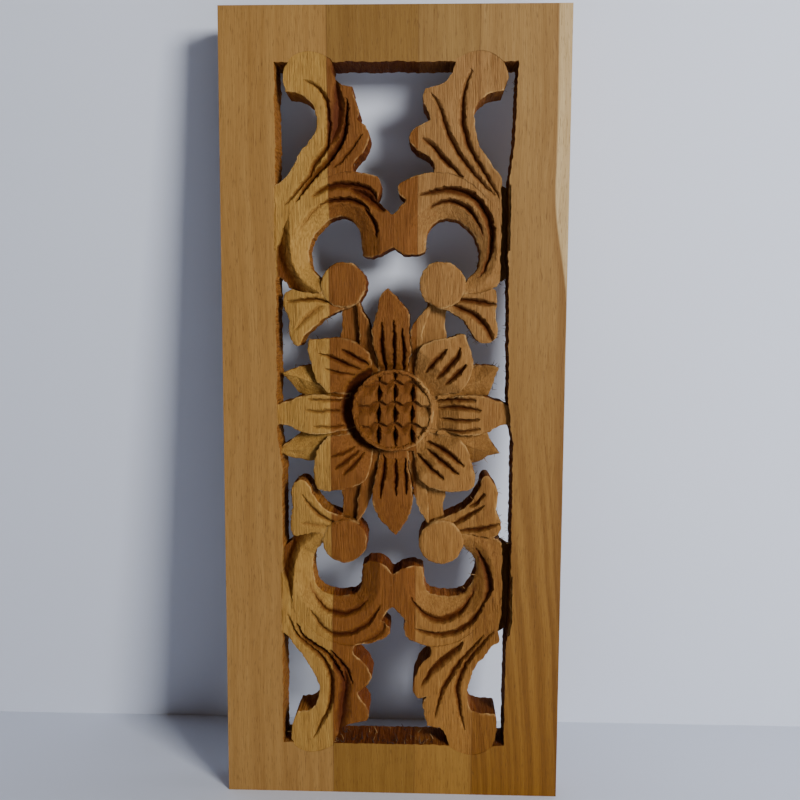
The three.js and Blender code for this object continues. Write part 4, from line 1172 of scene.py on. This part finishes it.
class GRILLE_OT_splinters(bpy.types.Operator):
    """Raise the loose fibres that the saw left along the openings"""
    bl_idname = "grille.splinters"
    bl_label = "Splinters"

    def execute(self, context):
        sizes = context.scene.grille_splinters
        board = bpy.data.objects["carved_teak_panel"].data
        walls = [face for face in board.polygons if face.material_index == SAWN]
        chance = random.Random(11)
        # Two copies of one fibre: pale ones painted as lit, dark ones with painted shade
        for name, colour, share in (("pale_fibres", sizes.pale, 0.5), ("shaded_fibres", sizes.dark, 1)):
            first = single_fibre(name, sizes.thickness)
            first.data.materials.append(fibre_material(name, colour))
            copies = []
            for left, right, low, high, count, longest in RAGGED_PLACES:
                near = [face for face in walls
                        if left < face.center.x / MM < right and low < face.center.z / MM < high]
                if not near:
                    raise RuntimeError("no sawn wall lies in a ragged place")
                for _ in range(round(count * share)):
                    face = chance.choice(near)
                    corners = [board.vertices[corner].co for corner in face.vertices]
                    place, turn, length = fibre_stand(face, corners, longest, chance)
                    bpy.ops.object.select_all(action="DESELECT")
                    first.select_set(True)
                    bpy.ops.object.duplicate()
                    copy = context.selected_objects[0]
                    copy.location = place
                    copy.rotation_euler = turn.to_euler()
                    copy.scale = [length / MM / FIBRE_LENGTH] * 3
                    copies.append(copy)
            bpy.ops.object.select_all(action="DESELECT")
            for copy in copies:
                copy.select_set(True)
            context.view_layer.objects.active = copies[0]
            bpy.ops.object.join()
            bpy.ops.object.transform_apply(location=True, rotation=True, scale=True)
            fibres = context.object
            bpy.data.objects.remove(first)
            fibres.name = fibres.data.name = name
            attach(fibres, "root")
            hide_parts("carved_panel")
        return {"FINISHED"}


class StageSettings(bpy.types.PropertyGroup):
    wall_gap: FloatProperty(
        name="Wall gap", description="Distance from the middle of the panel's back to the pale wall",
        default=29 * MM, unit="LENGTH")
    wall_lean: FloatProperty(
        name="Wall lean", description="Angle between the panel and the wall that it leans on",
        default=math.radians(7.5), subtype="ANGLE")
    key_power: FloatProperty(
        name="Key light", description="Power of the light from the right", default=15.2, unit="POWER")
    back_power: FloatProperty(
        name="Back light", description="Power of the soft light on the back", default=11, unit="POWER")
    key_size: FloatProperty(
        name="Key size", description="Side of the light from the right", default=0.3, unit="LENGTH")
    fill: FloatProperty(name="Fill", description="Strength of the light from all around", default=0.075)
    lens: FloatProperty(
        name="Lens", description="Focal length on a 36 mm sensor, in millimetres", default=38.93)


# The lights: the places in metres, and their colours
KEY_PLACE = (0.66, -0.82, 0.29)
KEY_COLOUR = (1, 0.985, 0.96)
BACK_PLACE = (-0.5, 0.9, 0.5)
BACK_COLOUR = (1, 0.85, 0.72)
BACK_SIZE = 0.6
ROOM_COLOUR = (1, 0.76, 0.6, 1)
# The camera's place in millimetres and its axes, which put the face's four corners where they lie
CAMERA_PLACE = (13.08, -342.41, 37.16)
CAMERA_RIGHT = (0.99948, 0.03205, 0.00440)
CAMERA_UP = (-0.00741, 0.09461, 0.99549)
CAMERA_BACK = (0.03149, -0.99500, 0.09479)


def paint_material(name, colour, roughness):
    """Matt wall paint: an even, soft white, see-through from behind so that the panel's back shows."""
    material = bpy.data.materials.new(name)
    material.use_nodes = True
    tree = material.node_tree
    tree.nodes.clear()
    paint = add_node(tree, "ShaderNodeBsdfPrincipled", {"Base Color": opaque(colour), "Roughness": roughness})
    clear = add_node(tree, "ShaderNodeBsdfTransparent")
    side = add_node(tree, "ShaderNodeNewGeometry")
    seen = add_node(tree, "ShaderNodeMixShader", {
        0: side.outputs["Backfacing"], 1: paint.outputs[0], 2: clear.outputs[0]})
    add_node(tree, "ShaderNodeOutputMaterial", {"Surface": seen.outputs[0]})
    return material


def studio_light(place, power, size, colour):
    """Adds a square, soft light that faces the panel."""
    bpy.ops.object.light_add(type="AREA", location=place)
    light = bpy.context.object
    light.data.energy = power
    light.data.size = size
    light.data.color = colour
    light.rotation_euler = (-light.location).to_track_quat("-Z", "Y").to_euler()


class GRILLE_OT_stage(bpy.types.Operator):
    """Set up the floor, the wall, the lights and the camera"""
    bl_idname = "grille.stage"
    bl_label = "Stage"

    def execute(self, context):
        stage = context.scene.grille_stage
        paint = paint_material("pale_paint", linear("#d3dae9"), 0.9)
        surfaces = (
            ("floor", (0, 0, HEIGHT / -2 * MM), (0, 0, 0)),
            ("wall", (0, stage.wall_gap, 0), (math.radians(90) + stage.wall_lean, 0, 0)),
        )
        for name, place, turn in surfaces:
            bpy.ops.object.select_all(action="DESELECT")
            bpy.ops.mesh.primitive_plane_add(size=4, location=place, rotation=turn)
            surface = context.object
            surface.name = name
            surface.data.materials.append(paint)
        studio_light(KEY_PLACE, stage.key_power, stage.key_size, KEY_COLOUR)
        studio_light(BACK_PLACE, stage.back_power, BACK_SIZE, BACK_COLOUR)
        world = bpy.data.worlds.new("studio")
        world.use_nodes = True
        world.node_tree.nodes["Background"].inputs["Color"].default_value = ROOM_COLOUR
        world.node_tree.nodes["Background"].inputs["Strength"].default_value = stage.fill
        context.scene.world = world
        bpy.ops.object.camera_add()
        camera = context.object
        camera.data.sensor_width = 36
        camera.data.lens = stage.lens
        turned = Matrix((CAMERA_RIGHT, CAMERA_UP, CAMERA_BACK)).transposed().to_4x4()
        turned.translation = [part * MM for part in CAMERA_PLACE]
        camera.matrix_world = turned
        context.scene.camera = camera
        return {"FINISHED"}


class GRILLE_PT_sidebar(bpy.types.Panel):
    bl_idname = "GRILLE_PT_sidebar"
    bl_label = "Carved fretwork grille"
    bl_space_type = "VIEW_3D"
    bl_region_type = "UI"
    bl_category = "Grille"

    def draw(self, context):
        scene = context.scene
        for group in GROUPS:
            box = self.layout.box()
            settings = getattr(scene, group)
            for name in settings.bl_rna.properties.keys():
                if name not in ("rna_type", "name"):
                    box.prop(settings, name)
        for operator in OPERATORS:
            self.layout.operator(operator.bl_idname)


OPERATORS = [GRILLE_OT_carved_panel, GRILLE_OT_splinters, GRILLE_OT_stage]
GROUPS = {
    "grille_sizes": GrilleSizes, "grille_colours": TeakColours, "grille_splinters": SplinterSizes,
    "grille_stage": StageSettings,
}


def register():
    for group in GROUPS.values():
        bpy.utils.register_class(group)
    for name, group in GROUPS.items():
        setattr(bpy.types.Scene, name, PointerProperty(type=group))
    for operator in OPERATORS:
        bpy.utils.register_class(operator)
    bpy.utils.register_class(GRILLE_PT_sidebar)


def unregister():
    bpy.utils.unregister_class(GRILLE_PT_sidebar)
    for operator in reversed(OPERATORS):
        bpy.utils.unregister_class(operator)
    for name, group in GROUPS.items():
        delattr(bpy.types.Scene, name)
        bpy.utils.unregister_class(group)


def main():
    register()
    bpy.ops.grille.carved_panel()
    bpy.ops.grille.splinters()
    bpy.ops.grille.stage()


if __name__ == "__main__":
    main()
